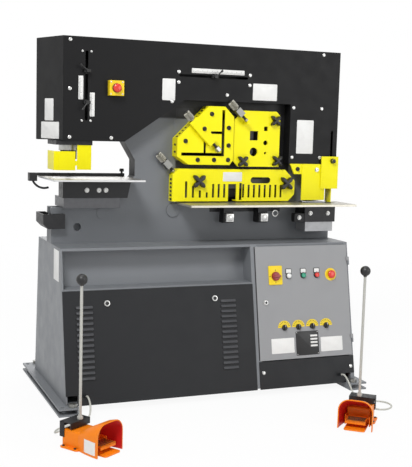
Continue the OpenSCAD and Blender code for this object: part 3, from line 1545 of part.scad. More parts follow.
// Cords: one tube swept along each route
cord_sides = 8;
cord_steps = 3;
gland_tip_y = front_y(gland_z) - gland_l * cos(front_lean);
gland_tip_z = gland_z + gland_l * sin(front_lean);
function pedal_point(place, along, z) =
  [place.x - along * sin(place.z), place.y + along * cos(place.z), z];
function route_point(r, i, t) =
  let (a = r[max(i - 1, 0)], b = r[i], c = r[i + 1], d = r[min(i + 2, len(r) - 1)])
  (2 * b + (c - a) * t + (2 * a - 5 * b + 4 * c - d) * pow(t, 2) + (3 * b - a - 3 * c + d) * pow(t, 3)) / 2;
function smooth_route(r) = concat([for (i = [0 : len(r) - 2], k = [0 : cord_steps - 1])
  route_point(r, i, k / cord_steps)], [r[len(r) - 1]]);
function heading(p, i) = let (v = p[min(i + 1, len(p) - 1)] - p[max(i - 1, 0)]) v / norm(v);
function cord_ring(p, i) =
  let (v = heading(p, i), s = cross(v, [0, 0, 1]) / norm(cross(v, [0, 0, 1])), u = cross(s, v))
  [for (k = [0 : cord_sides - 1]) p[i] + cord_d / 2 * (cos((k + half_share) * 360 / cord_sides) * s
    + sin((k + half_share) * 360 / cord_sides) * u)];

module cord(route) {
  p = smooth_route(route);
  n = len(p);
  m = cord_sides;
  polyhedron([for (i = [0 : n - 1]) each cord_ring(p, i)],
    concat([[for (k = [0 : m - 1]) m - 1 - k]], [[for (k = [0 : m - 1]) (n - 1) * m + k]],
      [for (i = [0 : n - 2], k = [0 : m - 1])
        [i * m + k, i * m + (k + 1) % m, (i + 1) * m + (k + 1) % m, (i + 1) * m + k]]));
}

pedal_gland_y = pedal_l + pedal_gland_l;
left_route = [pedal_point(left_pedal, pedal_gland_y, pedal_gland_z), [-812, -692, 39], [-824, -666, 30],
  [-832, -638, 17], [-830, -606, 7], [-816, -576, 5], [-790, -552, 5], [-758, -536, 5], [-724, -526, 5],
  [-690, -516, 6], [-664, -500, 15], [-648, -478, 34], [-641, -452, 58], [-640, -425, 76], [-640, -405, 81],
  [left_gland_x, gland_tip_y, gland_tip_z]];
right_route = [pedal_point(right_pedal, pedal_gland_y, pedal_gland_z), [546, -749, 39], [567, -720, 29],
  [593, -684, 16], [626, -646, 7], [662, -616, 5], [695, -614, 5], [722, -634, 5], [733, -667, 5],
  [723, -702, 5], [697, -728, 5], [663, -738, 5], [631, -727, 6], [611, -702, 12], [608, -670, 22],
  [615, -638, 25], [626, -604, 16], [636, -570, 7], [640, -540, 5], [640, -510, 11], [640, -480, 32],
  [640, -452, 58], [640, -425, 76], [640, -405, 81], [right_gland_x, gland_tip_y, gland_tip_z]];

module left_pedal_cord() color(bright_steel) cord(left_route);

module right_pedal_cord() color(bright_steel) cord(right_route);

base_cabinet();
skid_rails();
front_panel();
kick_panel();
fasteners();
hydraulic_unit();
control_gear();
front_frame_plate();
rear_frame_plate();
frame_spacers();
pivot_pin();
front_cover();
rear_cover();
top_cover();
estop_box();
punch_cylinder();
shear_cylinder();
die_holder();
punch_table();
slug_box();
punch_guard();
fixed_blades();
shear_table();
notch_die();
notch_guard();
angle_guard();
star_knobs();
pedal_bodies();
pedal_handles();
left_pedal_cord();
right_pedal_cord();
punch_ram();
shear_beam();
moving_blades();
shear_rod();
cabinet_door();
door_fittings();
main_switch_knob();
start_button();
stop_button();
door_estop();
upper_estop();
selector_knob(0);  // selector_knob_1
selector_knob(1);  // selector_knob_2
selector_knob(2);  // selector_knob_3
selector_knob(3);  // selector_knob_4
door_lock();
left_treadle();
right_treadle();
flat_guard();
flat_screw();
bar_plate();
bar_screw();
angle_pad();
angle_screw();
notch_slide_guard();
fence();
punch_stop_upper();
punch_stop_lower();
shear_stop();
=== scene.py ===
from functools import partial, reduce
import json
import math

import bmesh
import bpy
from mathutils import Matrix, Vector


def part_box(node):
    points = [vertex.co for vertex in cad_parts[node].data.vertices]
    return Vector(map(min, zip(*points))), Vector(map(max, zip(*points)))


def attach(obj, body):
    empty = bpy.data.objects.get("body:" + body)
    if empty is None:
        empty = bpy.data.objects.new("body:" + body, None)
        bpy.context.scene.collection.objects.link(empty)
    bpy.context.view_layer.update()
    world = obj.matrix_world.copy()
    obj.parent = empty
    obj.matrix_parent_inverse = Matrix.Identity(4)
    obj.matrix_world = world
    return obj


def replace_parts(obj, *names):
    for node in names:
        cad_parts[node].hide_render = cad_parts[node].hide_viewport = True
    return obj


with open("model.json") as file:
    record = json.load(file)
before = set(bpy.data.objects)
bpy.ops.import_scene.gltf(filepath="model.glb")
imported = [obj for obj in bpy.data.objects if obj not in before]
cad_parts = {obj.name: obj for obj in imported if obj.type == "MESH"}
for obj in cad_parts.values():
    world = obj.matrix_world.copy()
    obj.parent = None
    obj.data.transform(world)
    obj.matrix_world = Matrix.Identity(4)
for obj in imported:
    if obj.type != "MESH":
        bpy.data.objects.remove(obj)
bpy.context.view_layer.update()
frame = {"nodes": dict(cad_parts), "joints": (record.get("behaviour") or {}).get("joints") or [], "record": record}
nodes = frame["nodes"]
joints = {joint["name"]: joint for joint in frame["joints"]}
scene = bpy.context.scene
mm = 0.001


# camera, fitted to the straight edges of the machine
photoCamera = {"place": (-1.6443, -4.1843, 1.2596), "yaw": 22.15, "pitch": -6.59, "roll": 1.59, "lens": 70.59}


def linked(name, data):
    made = bpy.data.objects.new(name, data)
    scene.collection.objects.link(made)
    return made


def rotated(angle, axis="Z"):
    return Matrix.Rotation(angle, 4, axis)


def makeCamera(place, lens, **turns):
    camera = linked("photoCamera", bpy.data.cameras.new("photoCamera"))
    camera.data.lens, camera.data.sensor_width, camera.data.clip_end = lens, 36, 60
    yaw, pitch, roll = map(math.radians, turns.values())
    turn = rotated(-yaw) @ rotated(math.pi / 2 + pitch, "X") @ rotated(roll)
    camera.matrix_world = Matrix.Translation(place) @ turn
    scene.camera = camera


makeCamera(**photoCamera)


# materials

def linear(*colour):
    shares = [value / 255 for value in colour]
    return tuple(v / 12.92 if v <= 0.04045 else ((v + 0.055) / 1.055) ** 2.4 for v in shares) + (1,)


def blank(name):
    material = bpy.data.materials.new(name)
    material.use_nodes = True
    return material, material.node_tree, material.node_tree.nodes["Principled BSDF"]


def node(tree, kind, links=(), **values):
    made = tree.nodes.new("ShaderNode" + kind)
    for key, value in values.items():
        if key in made.bl_rna.properties:
            setattr(made, key, value)
        else:
            made.inputs[key].default_value = value
    for key, source in links:
        tree.links.new(source, made.inputs[key])
    return made


def objectSpot(tree):
    return node(tree, "TexCoord").outputs["Object"]


def noise(tree, scale, detail, stretch=None):
    spot = objectSpot(tree)
    if stretch:
        spot = node(tree, "Mapping", [("Vector", spot)], Scale=stretch).outputs["Vector"]
    return node(tree, "TexNoise", [("Vector", spot)], Scale=scale, Detail=detail).outputs["Fac"]


def ranged(tree, source, low, high, fromLow=0.3, fromHigh=0.7):
    made = node(tree, "MapRange", [(0, source)])
    for place, value in zip((1, 2, 3, 4), (fromLow, fromHigh, low, high)):
        made.inputs[place].default_value = value
    return made.outputs["Result"]


def mixed(tree, factor, first, second):
    made = node(tree, "Mix", data_type="RGBA")
    tree.links.new(factor, made.inputs["Factor"])
    for place, colour in ((6, first), (7, second)):
        if isinstance(colour, tuple):
            made.inputs[place].default_value = colour
        else:
            tree.links.new(colour, made.inputs[place])
    return made.outputs[2]


def shaded(colour, share):
    return tuple(min(1, value * share) for value in linear(*colour)[:3]) + (1,)


def maths(tree, operation, first, second):
    return node(tree, "Math", [(0, first), (1, second)], operation=operation).outputs[0]


def axes(tree, source):
    return node(tree, "SeparateXYZ", [("Vector", source)]).outputs


def flatNormal(tree):
    return node(tree, "NewGeometry").outputs["True Normal"]


# each finish: noise scale and detail, then what the noise sets; "edge" is the rounding seen in the light
kinds = {
    "paint": {"drift": (2.3, 4, 0.95, 1.05), "bare": (9, 4, 0.62, (176, 176, 172)), "gloss": (17, 5, 0.07, 0.07),
              "relief": (640, 2, 0.05, 0.0006), "edge": 0.0015, "socket": ("Specular IOR Level", 0.3)},
    "black": {"drift": (42, 6, 0.7, 1.45), "bare": (24, 5, 0.65, (128, 126, 122)), "gloss": (60, 4, 0.1, 0.1),
              "relief": (320, 4, 0.12, 0.0006), "edge": 0.0014, "socket": ("Metallic", 0.35)},
    "mould": {"drift": (26, 3, 0.93, 1.06), "gloss": (70, 4, 0.05, 0.08), "relief": (1500, 2, 0.06, 0.0003),
              "edge": 0.0012, "socket": ("Coat Weight", 0)},
    "steel": {"drift": (4, 6, 0.82, 1.12), "stain": (13, 5, 0.5, 0.75, 0.14, 0.35), "gloss": (4, 6, 0.08, 0.12),
              "relief": (4, 6, 0.08, 0.0004), "edge": 0.001, "socket": ("Metallic", 0.9)},
    "parted": {"drift": (46, 5, 0.84, 1.16), "bare": (24, 5, 0.65, (146, 144, 140)), "gloss": (60, 4, 0.1, 0.1),
               "relief": (320, 4, 0.1, 0.0005), "edge": 0.0014},
}


def drifting(tree, form, colour, stretch=None):
    scale, detail, dark, light = form["drift"]
    return mixed(tree, noise(tree, scale, detail, stretch), shaded(colour, dark), shaded(colour, light))


# bare edges where the rounded normal turns away from the flat one, then roughness and a fine relief
def surfaced(tree, form, look, rough, wear, stretch=None):
    soft = node(tree, "Bevel", Radius=form["edge"], samples=4).outputs["Normal"]
    if wear:
        scale, detail, full, bare = form["bare"]
        patches = ranged(tree, noise(tree, scale, detail), 0, wear, 0.42, full)
        turn = node(tree, "VectorMath", [(0, soft), (1, flatNormal(tree))], operation="DOT_PRODUCT").outputs[1]
        edges = maths(tree, "MULTIPLY", ranged(tree, turn, 1, 0, 0.90, 0.985), patches)
        look = mixed(tree, edges, look, linear(*bare))
    scale, detail, less, more = form["gloss"]
    gloss = ranged(tree, noise(tree, scale, detail, stretch), rough - less, rough + more)
    scale, detail, strength, depth = form["relief"]
    skin = node(tree, "Bump", [("Height", noise(tree, scale, detail, stretch)), ("Normal", soft)],
                Strength=strength, Distance=depth).outputs["Normal"]
    for key, source in (("Base Color", look), ("Roughness", gloss), ("Normal", skin)):
        tree.links.new(source, tree.nodes["Principled BSDF"].inputs[key])


def surface(kind, name, colour, rough, wear=0, level=None, stretch=None):
    material, tree, shader = blank(name)
    form = kinds[kind]
    look = drifting(tree, form, colour, stretch)
    if "stain" in form:
        scale, detail, low, high, most, share = form["stain"]
        spots = ranged(tree, noise(tree, scale, detail), 0, most, low, high)
        look = mixed(tree, spots, look, shaded(colour, share))
    surfaced(tree, form, look, rough, wear, stretch)
    socket, usual = form["socket"]
    shader.inputs[socket].default_value = usual if level is None else level
    return material


paint, blackened, moulded, machined = (partial(surface, kind) for kind in ("paint", "black", "mould", "steel"))


# two finishes on one node, parted at a height in millimetres; each side is a colour and its metal share; a third
# colour, where given, paints the upper side's faces that don't face up lighter, as a painted highlight
def twoTone(name, lower, upper, height, edgeHighlight=None):
    material, tree, shader = blank(name)
    form = kinds["parted"]
    above = ranged(tree, axes(tree, objectSpot(tree))["Z"], 0, 1, height * mm - 0.0001, height * mm + 0.0001)
    sides = [drifting(tree, form, side[0]) for side in (lower, upper)]
    # painted highlight: the faces that don't face up get the lighter edge colour
    if edgeHighlight:
        upright = ranged(tree, axes(tree, flatNormal(tree))["Z"], 1, 0, 0.4, 0.6)
        sides[1] = mixed(tree, upright, sides[1], linear(*edgeHighlight))
    surfaced(tree, form, mixed(tree, above, *sides), 0.4, 0.55)
    if lower[1] == upper[1]:
        shader.inputs["Metallic"].default_value = upper[1]
    else:
        tree.links.new(ranged(tree, above, lower[1], upper[1], 0, 1), shader.inputs["Metallic"])
    return material


# frame paint with painted shade: black on the fields round the guards, and in the first area only where it faces
# left, to the punch
paintedShadeAreas = {"soft": 8, "fields": [(-900, -200, 990, 1700), (-420, 480, 1300, 1640), (-128, 334, 1012, 1100),
                                         (330, 480, 1040, 1640)]}


def frameWithPaintedShade(name, colour, black):
    material = paint(name, colour, 0.5, 0.4)
    tree = material.node_tree
    spot = axes(tree, objectSpot(tree))
    soft = paintedShadeAreas["soft"] / 2

    def within(axis, low, high):
        steps = [ranged(tree, spot[axis], *values, (edge - soft) * mm, (edge + soft) * mm)
                 for edge, values in ((low, (0, 1)), (high, (1, 0)))]
        return maths(tree, "MULTIPLY", *steps)

    shares = [maths(tree, "MULTIPLY", within("X", left, right), within("Z", low, high))
              for left, right, low, high in paintedShadeAreas["fields"]]
    leftward = ranged(tree, axes(tree, flatNormal(tree))["X"], 1, 0, -0.5, -0.4)
    shares[0] = maths(tree, "MULTIPLY", shares[0], leftward)
    base = tree.nodes["Principled BSDF"].inputs["Base Color"]
    # black painted shade over the fields and the left-facing flank
    shadeShare = reduce(partial(maths, tree, "MAXIMUM"), shares)
    tree.links.new(mixed(tree, shadeShare, base.links[0].from_socket, linear(*black)), base)
    return material


finish = {
    "covers": paint("satinBlackCover", (26, 26, 27), 0.42, 0.12, 0.15),
    "base": paint("cabinetGrey", (126, 129, 133), 0.44, 0.2),
    "door": paint("doorGrey", (151, 152, 154), 0.42, 0.15),
    "panels": paint("panelCharcoal", (39, 40, 42), 0.46, 0.15, 0.2),
    "frame": frameWithPaintedShade("frameGrey", (118, 121, 125), (30, 30, 32)),
    "guards": paint("guardYellow", (254, 241, 8), 0.36, 0.25, 0.22),
    "pedal_shell": paint("pedalOrange", (252, 136, 18), 0.34, 0.3, 0.22),
    "steel": machined("tableSteel", (196, 196, 194), 0.3, stretch=(3, 260, 260)),
    "tooling": blackened("toolBlack", (34, 34, 36), 0.5, 0.7),
    "knobs": moulded("knobBlack", (26, 26, 27), 0.4),
    "red": moulded("buttonRed", (222, 48, 34), 0.26, level=0.4),
    "green": moulded("buttonGreen", (28, 150, 116), 0.26, level=0.4),
    "yellow_fittings": moulded("boxYellow", (246, 214, 24), 0.4),
    "cord": moulded("cordGrey", (196, 196, 188), 0.5),
}
hoodRed = paint("hoodInsideRed", (206, 34, 34), 0.45, 0.1)
plateWhite = moulded("plateWhite", (236, 236, 234), 0.4)
plateBlack = moulded("plateBlack", (24, 24, 25), 0.42)
rodGrey = paint("rodGrey", (186, 186, 180), 0.38, 0.1)
boltBlack = blackened("boltBlack", (30, 28, 27), 0.42, 0.5)
boltBright = machined("boltBright", (206, 206, 204), 0.26, stretch=(120, 120, 120))
switchRed = moulded("switchRed", (146, 20, 20), 0.32, level=0.3)
lampLens = moulded("lampLens", (238, 240, 238), 0.18, level=0.5)
knobSilver = machined("knobSilver", (168, 166, 156), 0.34, stretch=(60, 60, 60))
# lighter than the panel charcoal: a painted highlight on the louvre hoods
louvreGrey = paint("louvreGrey", (76, 77, 80), 0.4, 0.1, 0.2)
boltGrey = machined("boltGrey", (142, 142, 138), 0.4, stretch=(90, 90, 90))

# finishes that differ from the node's slot; the shear beam and the blades take the black tooling finish as painted
# shade, for the shadow in the openings round them
ownFinish = {
    "hydraulic_unit": finish["base"], "shear_beam": finish["tooling"], "main_switch_knob": switchRed,
    "door_lock": boltGrey, "control_gear": finish["knobs"], "fasteners": boltGrey,
    "fixed_blades": finish["tooling"], "moving_blades": finish["tooling"], "pivot_pin": finish["frame"],
    "shear_table": twoTone("tableOverBrackets", ((34, 34, 36), 0.35), ((158, 155, 148), 0.75), 889.5,
                           (206, 202, 190)),
    "punch_table": twoTone("tablePolishedEdgeHighlight", ((146, 143, 138), 0.75), ((146, 143, 138), 0.75), 0, (210, 210, 210)),
    "notch_die": twoTone("dieOverBolster", ((168, 169, 171), 0.4), ((30, 30, 32), 0.35), 804.8),
    "die_holder": twoTone("holderOverBase", ((96, 97, 100), 0.3), ((30, 30, 32), 0.35), 923.8),
    "punch_ram": twoTone("ramOverNut", ((38, 37, 36), 0.4), ((200, 200, 198), 0.9), 1139),
}
slotOf = {row["node"]: row["material_slot"] for row in frame["record"]["subparts"]}
for name, item in nodes.items():
    item.data.materials.clear()
    item.data.materials.append(ownFinish.get(name, finish[slotOf[name]]))
print("finishes on", len(nodes), "nodes")


# mesh helpers: a shape is made at the origin, z out of the face it sits on, then added at its spot

def faceFrame(origin, right=(1, 0, 0), up=(0, 0, 1)):
    across, rise = Vector(right), Vector(up)
    turned = Matrix((across, rise, across.cross(rise))).transposed().to_4x4()
    turned.translation = Vector(origin)
    return turned


def faceAt(x, y, z, right=(1, 0, 0), up=(0, 0, 1)):
    return faceFrame((x * mm, y * mm, z * mm), right, up)


def shifted(x, y, z=0):
    return Matrix.Translation((x * mm, y * mm, z * mm))


def meshes(count):
    return [bmesh.new() for _ in range(count)]


def baked(name, bm):
    mesh = bpy.data.meshes.new(name)
    bm.to_mesh(mesh)
    bm.free()
    return mesh


def added(bm, part, spot):
    bmesh.ops.transform(part, matrix=spot, verts=part.verts)
    mesh = baked("part", part)
    bm.from_mesh(mesh)
    bpy.data.meshes.remove(mesh)


def lathe(bm, profile, spot, steps=28, ring=False):
    part = bmesh.new()
    verts = [part.verts.new((radius * mm, 0, height * mm)) for radius, height in profile]
    edges = [part.edges.new(pair) for pair in zip(verts, verts[1:])]
    if ring:
        edges.append(part.edges.new((verts[-1], verts[0])))
    bmesh.ops.spin(part, geom=verts + edges, cent=(0, 0, 0), axis=(0, 0, 1), dvec=(0, 0, 0),
                   angle=math.tau, steps=steps, use_merge=True, use_duplicate=False)
    bmesh.ops.remove_doubles(part, verts=part.verts, dist=1e-6)
    added(bm, part, spot)


def eased(part, geom, offset, segments, affect="EDGES"):
    bmesh.ops.bevel(part, geom=geom, offset=offset * mm, offset_type="OFFSET", affect=affect, segments=segments,
                    profile=0.5, material=-1)


def bar(bm, width, height, depth, spot, edge=0.0, segments=2):
    part = bmesh.new()
    bmesh.ops.create_cube(part, size=1, matrix=Matrix.Diagonal((width * mm, height * mm, depth * mm, 1)))
    if edge:
        eased(part, part.edges[:], edge, segments)
    added(bm, part, spot)


# a bar between two opposite corners
def block(bm, start, end, spot=Matrix(), edge=0.0):
    start, end = Vector(start), Vector(end)
    bar(bm, *map(abs, end - start), spot @ shifted(*(start + end) / 2), edge)


def raised(part, steps):
    faces = part.faces[:]
    for height, share in steps:
        geom = bmesh.ops.extrude_face_region(part, geom=faces)["geom"]
        verts = [g for g in geom if isinstance(g, bmesh.types.BMVert)]
        faces = [g for g in geom if isinstance(g, bmesh.types.BMFace)]
        bmesh.ops.translate(part, vec=(0, 0, height * mm), verts=verts)
        bmesh.ops.scale(part, vec=(share, share, 1), verts=verts)


def plate(bm, width, height, corner, thick, spot, edge=0.3):
    part = bmesh.new()
    bmesh.ops.create_grid(part, x_segments=1, y_segments=1, size=0.5)
    bmesh.ops.scale(part, vec=(width * mm, height * mm, 1), verts=part.verts)
    if corner:
        eased(part, part.verts[:], corner, 6, "VERTICES")
    raised(part, [(thick, 1)])
    eased(part, [e for e in part.edges if all(v.co.z > thick * mm / 2 for v in e.verts)], edge, 2)
    added(bm, part, spot)


# a round form whose radius follows the angle, raised in steps
def lobed(bm, radiusAt, steps, spot, count=64):
    part = bmesh.new()
    bmesh.ops.create_circle(part, cap_ends=True, segments=count, radius=1)
    for vert in part.verts:
        vert.co *= radiusAt(math.atan2(vert.co.y, vert.co.x)) * mm
    raised(part, steps)
    added(bm, part, spot)


# a look is a material, a list of them, or a slot's name
def piece(name, bm, look, slot=None, smooth=35, body="machine"):
    if isinstance(look, str):
        look, slot = finish[look], slot or look
    bmesh.ops.remove_doubles(bm, verts=bm.verts, dist=1e-7)
    bmesh.ops.recalc_face_normals(bm, faces=bm.faces)
    mesh = baked(name, bm)
    mesh.shade_smooth()
    mesh.set_sharp_from_angle(angle=math.radians(smooth))
    for material in look if isinstance(look, list) else [look]:
        mesh.materials.append(material)
    made = linked(name, mesh)
    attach(made, body)
    return made


# boxes of a node's separate solids
def solidsOf(name):
    bm = bmesh.new()
    bm.from_mesh(nodes[name].data)
    bmesh.ops.remove_doubles(bm, verts=bm.verts, dist=1e-6)
    left = set(bm.verts)
    found = []
    while left:
        group, queue = [], [left.pop()]
        while queue:
            vert = queue.pop()
            group.append(vert.co.copy())
            near = {edge.other_vert(vert) for edge in vert.link_edges} & left
            left -= near
            queue += near
        found.append([Vector([end(co[axis] for co in group) for axis in range(3)]) for end in (min, max)])
    bm.free()
    return sorted(found, key=lambda ends: tuple(ends[0]))


# faces of the machine, taken from the frame
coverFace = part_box("front_cover")[0].y
upSlope = Vector(joints["door_hinge"]["axis"]).normalized()
outSlope = Vector((1, 0, 0)).cross(upSlope)
hingePoint = Vector(joints["door_hinge"]["pos_m"])
slopeSheet = {"hingeOut": 7, "panel": 4}


def onCover(x, z, out=0.0):
    return faceAt(x, coverFace / mm - out, z)


# out is counted from the plane behind the door and the panels
def onSlope(x, z, out=slopeSheet["panel"]):
    foot = hingePoint - outSlope * slopeSheet["hingeOut"] * mm
    foot += upSlope * ((z * mm - foot.z) / upSlope.z)
    return faceFrame(Vector((x * mm, foot.y, foot.z)) + outSlope * out * mm, (1, 0, 0), upSlope)


# pedal cords, on the routes that the solids follow
cordLook = {"diameter": 8 * mm, "leftLength": 0.465, "rightLength": 0.833}
leftRoute = [(-802.54, -707.30, 40), (-812, -692, 39), (-824, -666, 30), (-832, -638, 17), (-830, -606, 7),
             (-816, -576, 5), (-790, -552, 5), (-758, -536, 5), (-724, -526, 5), (-690, -516, 6), (-664, -500, 15),
             (-648, -478, 34), (-641, -452, 58), (-640, -425, 76), (-640, -405, 81), (-640, -385.24, 77.5)]
rightRoute = [(532.61, -765.19, 40), (546, -749, 39), (567, -720, 29), (593, -684, 16), (626, -646, 7),
              (662, -616, 5), (695, -614, 5), (722, -634, 5), (733, -667, 5), (723, -702, 5), (697, -728, 5),
              (663, -738, 5), (631, -727, 6), (611, -702, 12), (608, -670, 22), (615, -638, 25), (626, -604, 16),
              (636, -570, 7), (640, -540, 5), (640, -510, 11), (640, -480, 32), (640, -452, 58), (640, -425, 76),
              (640, -405, 81), (640, -385.24, 77.5)]


def layCord(name, route, solid):
    points = [Vector(p) * mm for p in route]
    curve = bpy.data.curves.new(name, "CURVE")
    curve.dimensions = "3D"
    curve.bevel_depth = cordLook["diameter"] / 2
    curve.bevel_resolution = 3
    curve.resolution_u = 8
    curve.use_fill_caps = True
    spline = curve.splines.new("BEZIER")
    spline.bezier_points.add(len(points) - 1)
    for i, knot in enumerate(spline.bezier_points):
        reach = (points[min(i + 1, len(points) - 1)] - points[max(i - 1, 0)]) / 6
        knot.handle_left_type = knot.handle_right_type = "FREE"
        knot.co = points[i]
        knot.handle_left = points[i] - reach
        knot.handle_right = points[i] + reach
    curve.materials.append(finish["cord"])
    cord = linked(name, curve)
    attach(cord, "machine")
    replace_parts(cord, solid)


layCord("leftPedalCord", leftRoute, "left_pedal_cord")
layCord("rightPedalCord", rightRoute, "right_pedal_cord")
print("cords laid")


# screw heads, panel locks and levelling bolts, over the plain heads of the frame
headLook = {"screw": [(0, 0), (8.5, 0), (8.5, 3.7), (7.9, 4.4), (5.6, 5.2), (3.3, 5.4), (3.3, 4.3), (0, 4.3)],
            "lock": [(0, 0), (13.7, 0), (13.7, 7.1), (12.9, 8.2), (9.6, 8.6), (9.2, 8.1), (0, 8.1)],
            "lockCore": [(0, 8), (8.6, 8), (8.6, 8.3), (7.9, 8.9), (0, 8.9)],
            "level": [(13.4, 1), (1.2, 0.93)]}
headSize = {"screw": 16, "screwHigh": 4, "lock": 26, "level": 32}
slotScrews = [(-607, 1586), (-566, 1586), (-607, 1276), (-566, 1276)]


def smallHead(share):
    return [(radius * share, height * 0.8) for radius, height in headLook["screw"]]


def makeHeads():
    screws, locks, cores, bolts = meshes(4)
    count = 0
    for low, high in solidsOf("fasteners"):
        size, middle = (high - low) / mm, (high + low) / 2 / mm
        if abs(size.x - headSize["screw"]) < 0.5 and abs(size.z - headSize["screw"]) < 1.5:
            flat = abs(low.y - (coverFace - headSize["screwHigh"] * mm)) < 0.0005
            spot = onCover(middle.x, middle.z) if flat else onSlope(middle.x, middle.z - 0.4)
            lathe(screws, headLook["screw"], spot, 18)
            count += 1
        elif abs(size.x - headSize["lock"]) < 0.5 and size.y < 16 and size.z < 30:
            spot = onSlope(middle.x, middle.z - 1.2)
            lathe(locks, headLook["lock"], spot)
            lathe(cores, headLook["lockCore"], spot)
            bar(cores, 2.6, 13, 0.8, spot @ shifted(0, 0, 9.1) @ rotated(0.6), 0.2)
        elif abs(size.x - headSize["level"]) < 0.5 and size.z < 16:
            lobed(bolts, lambda turn: 19.4, headLook["level"], shifted(middle.x, middle.y, low.z / mm), 6)
    for x, z in slotScrews:
        lathe(screws, smallHead(0.62), onCover(x, z), 16)
    piece("machineScrews", screws, boltBright, "steel")
    piece("panelLockRings", locks, boltBright, "steel")
    piece("panelLockCores", cores, "knobs")
    piece("levellingBolts", bolts, boltGrey, "steel", 20)
    print("screw heads:", count)


# pressed hoods with a rolled lip on the louvres of the front panel, painted lighter than the panel as a painted
# highlight where they face the light
louvreRow = {"lefts": [-668, 26.5], "low": 140, "pitch": 23.6, "count": 14, "wide": 76, "high": 11, "out": 7}


def makeLouvreHoods():
    bm = bmesh.new()
    lefts, low, pitch, count, wide, high, out = louvreRow.values()
    tilt, half = math.atan2(out, high), wide / 2
    for left in lefts:
        for i in range(count):
            spot = onSlope(left + half, low + pitch * i)
            plate(bm, wide - 1, math.hypot(high, out) - 0.6, 4.5, 0.7,
                  spot @ shifted(0, high / 2, out / 2) @ rotated(-tilt, "X"))
            along = spot @ shifted(0, 0.6, out - 0.9) @ rotated(math.pi / 2, "Y")
            lathe(bm, [(0, 1 - half), (1.2, 1.6 - half), (1.5, 3 - half), (1.5, half - 3), (1.2, half - 1.6),
                       (0, half - 1)], along, 8)
    piece("louvreHoods", bm, louvreGrey, "panels", 40)


makeHeads()
makeLouvreHoods()


# emergency stops and push buttons
mushroomForm = [(0, -16), (11, -16), (11, 6.2), (15.6, 6.0), (18.8, 7.0), (20, 9.6), (19.5, 12.8), (17.2, 15.8),
                (12.5, 18), (6, 19), (0, 19.2)]
pushForm = [(0, -2), (11, -2), (11, 14.6), (10.3, 15.7), (9, 16), (8.2, 15.5), (0, 15.2)]
ringForm = {"bezel": [(11.25, 4), (15.4, 4), (15.4, 6.2), (14.4, 7.9), (12.4, 8.4), (11.25, 8)],
            "collar": [(11.25, 4), (31, 4), (31, 5.2), (29.6, 6.6), (23, 7), (11.25, 7)],
            "lamp": [(0, 4), (15.4, 4), (15.4, 6.4), (14.2, 8.2), (12.2, 8.4), (0, 8.4)],
            "lens": [(0, 8), (12, 8), (12, 13), (10.5, 15.6), (7, 17.3), (0, 18)]}
controlRow = {"z": 555, "switch": 318, "lamp": 390, "start": 470, "stop": 544, "estop": 622}
estopBox = {"x": -453, "z": 1427, "out": 30, "lidScrews": [(-27, 27), (27, 27), (-27, -27), (27, -27)]}


def onRow(key, out=slopeSheet["panel"]):
    return onSlope(controlRow[key], controlRow["z"], out)


def onStopBox(x=0, z=0):
    return onCover(estopBox["x"] + x, estopBox["z"] + z, estopBox["out"])


def makeButtons():
    for name, body, solid, look, form, spot in (
            ("upperEstopHead", "upper_stop", "upper_estop", "red", mushroomForm, onStopBox()),
            ("doorEstopHead", "door_stop", "door_estop", "red", mushroomForm, onRow("estop", 7)),
            ("startCap", "start", "start_button", "green", pushForm, onRow("start", 0)),
            ("stopCap", "stop", "stop_button", "red", pushForm, onRow("stop", 0))):
        bm = bmesh.new()
        lathe(bm, form, spot, 40)
        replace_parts(piece(name, bm, look, smooth=50, body=body), solid)


def makeEstopBoxTrim():
    screws, seam = meshes(2)
    form = [(0, 0), (3.6, 0), (3.6, 0.8), (3.0, 1.2), (1.4, 1.3), (1.4, 0.5), (0, 0.5)]
    for x, z in estopBox["lidScrews"]:
        lathe(screws, form, onStopBox(x, z), 16)
    lathe(seam, [(11.3, 0), (21.5, 0), (21.5, 0.3), (20.9, 0.7), (11.3, 0.7)], onStopBox(), 40, True)
    piece("estopLidScrews", screws, boltBright, "steel")
    piece("estopCollar", seam, "knobs")


makeButtons()
makeEstopBoxTrim()


# control row, dials and plates of the door
dialRow = {"z": 311, "xs": [353, 429, 505, 581], "radius": 34, "ticks": 9, "tickAt": 27}
switchPlate = {"wide": 72, "high": 92, "above": 5, "tickOut": 29}
legend = {"holder": (33, 27, 4, 2.4), "insert": (27, 19, 1.5, 0.6)}
# a black strip along the door's left edge: painted shade for the dark gap beside the door
doorGapShade = {"wide": 4.6, "thick": 1.8, "short": 6, "aside": 2.2, "out": 1.2}
doorPlates = {"white": [(341, 226, 122, 72), (607.5, 221, 121, 70)], "data": (474, 232, 124, 116)}


def halfDisc(bm, radius, thick, spot):
    part = bmesh.new()
    bmesh.ops.create_circle(part, cap_ends=True, segments=48, radius=radius * mm)
    bmesh.ops.bisect_plane(part, geom=part.verts[:] + part.edges[:] + part.faces[:], plane_co=(0, 0, 0),
                           plane_no=(0, -1, 0), clear_outer=True)
    raised(part, [(thick, 1)])
    added(bm, part, spot)


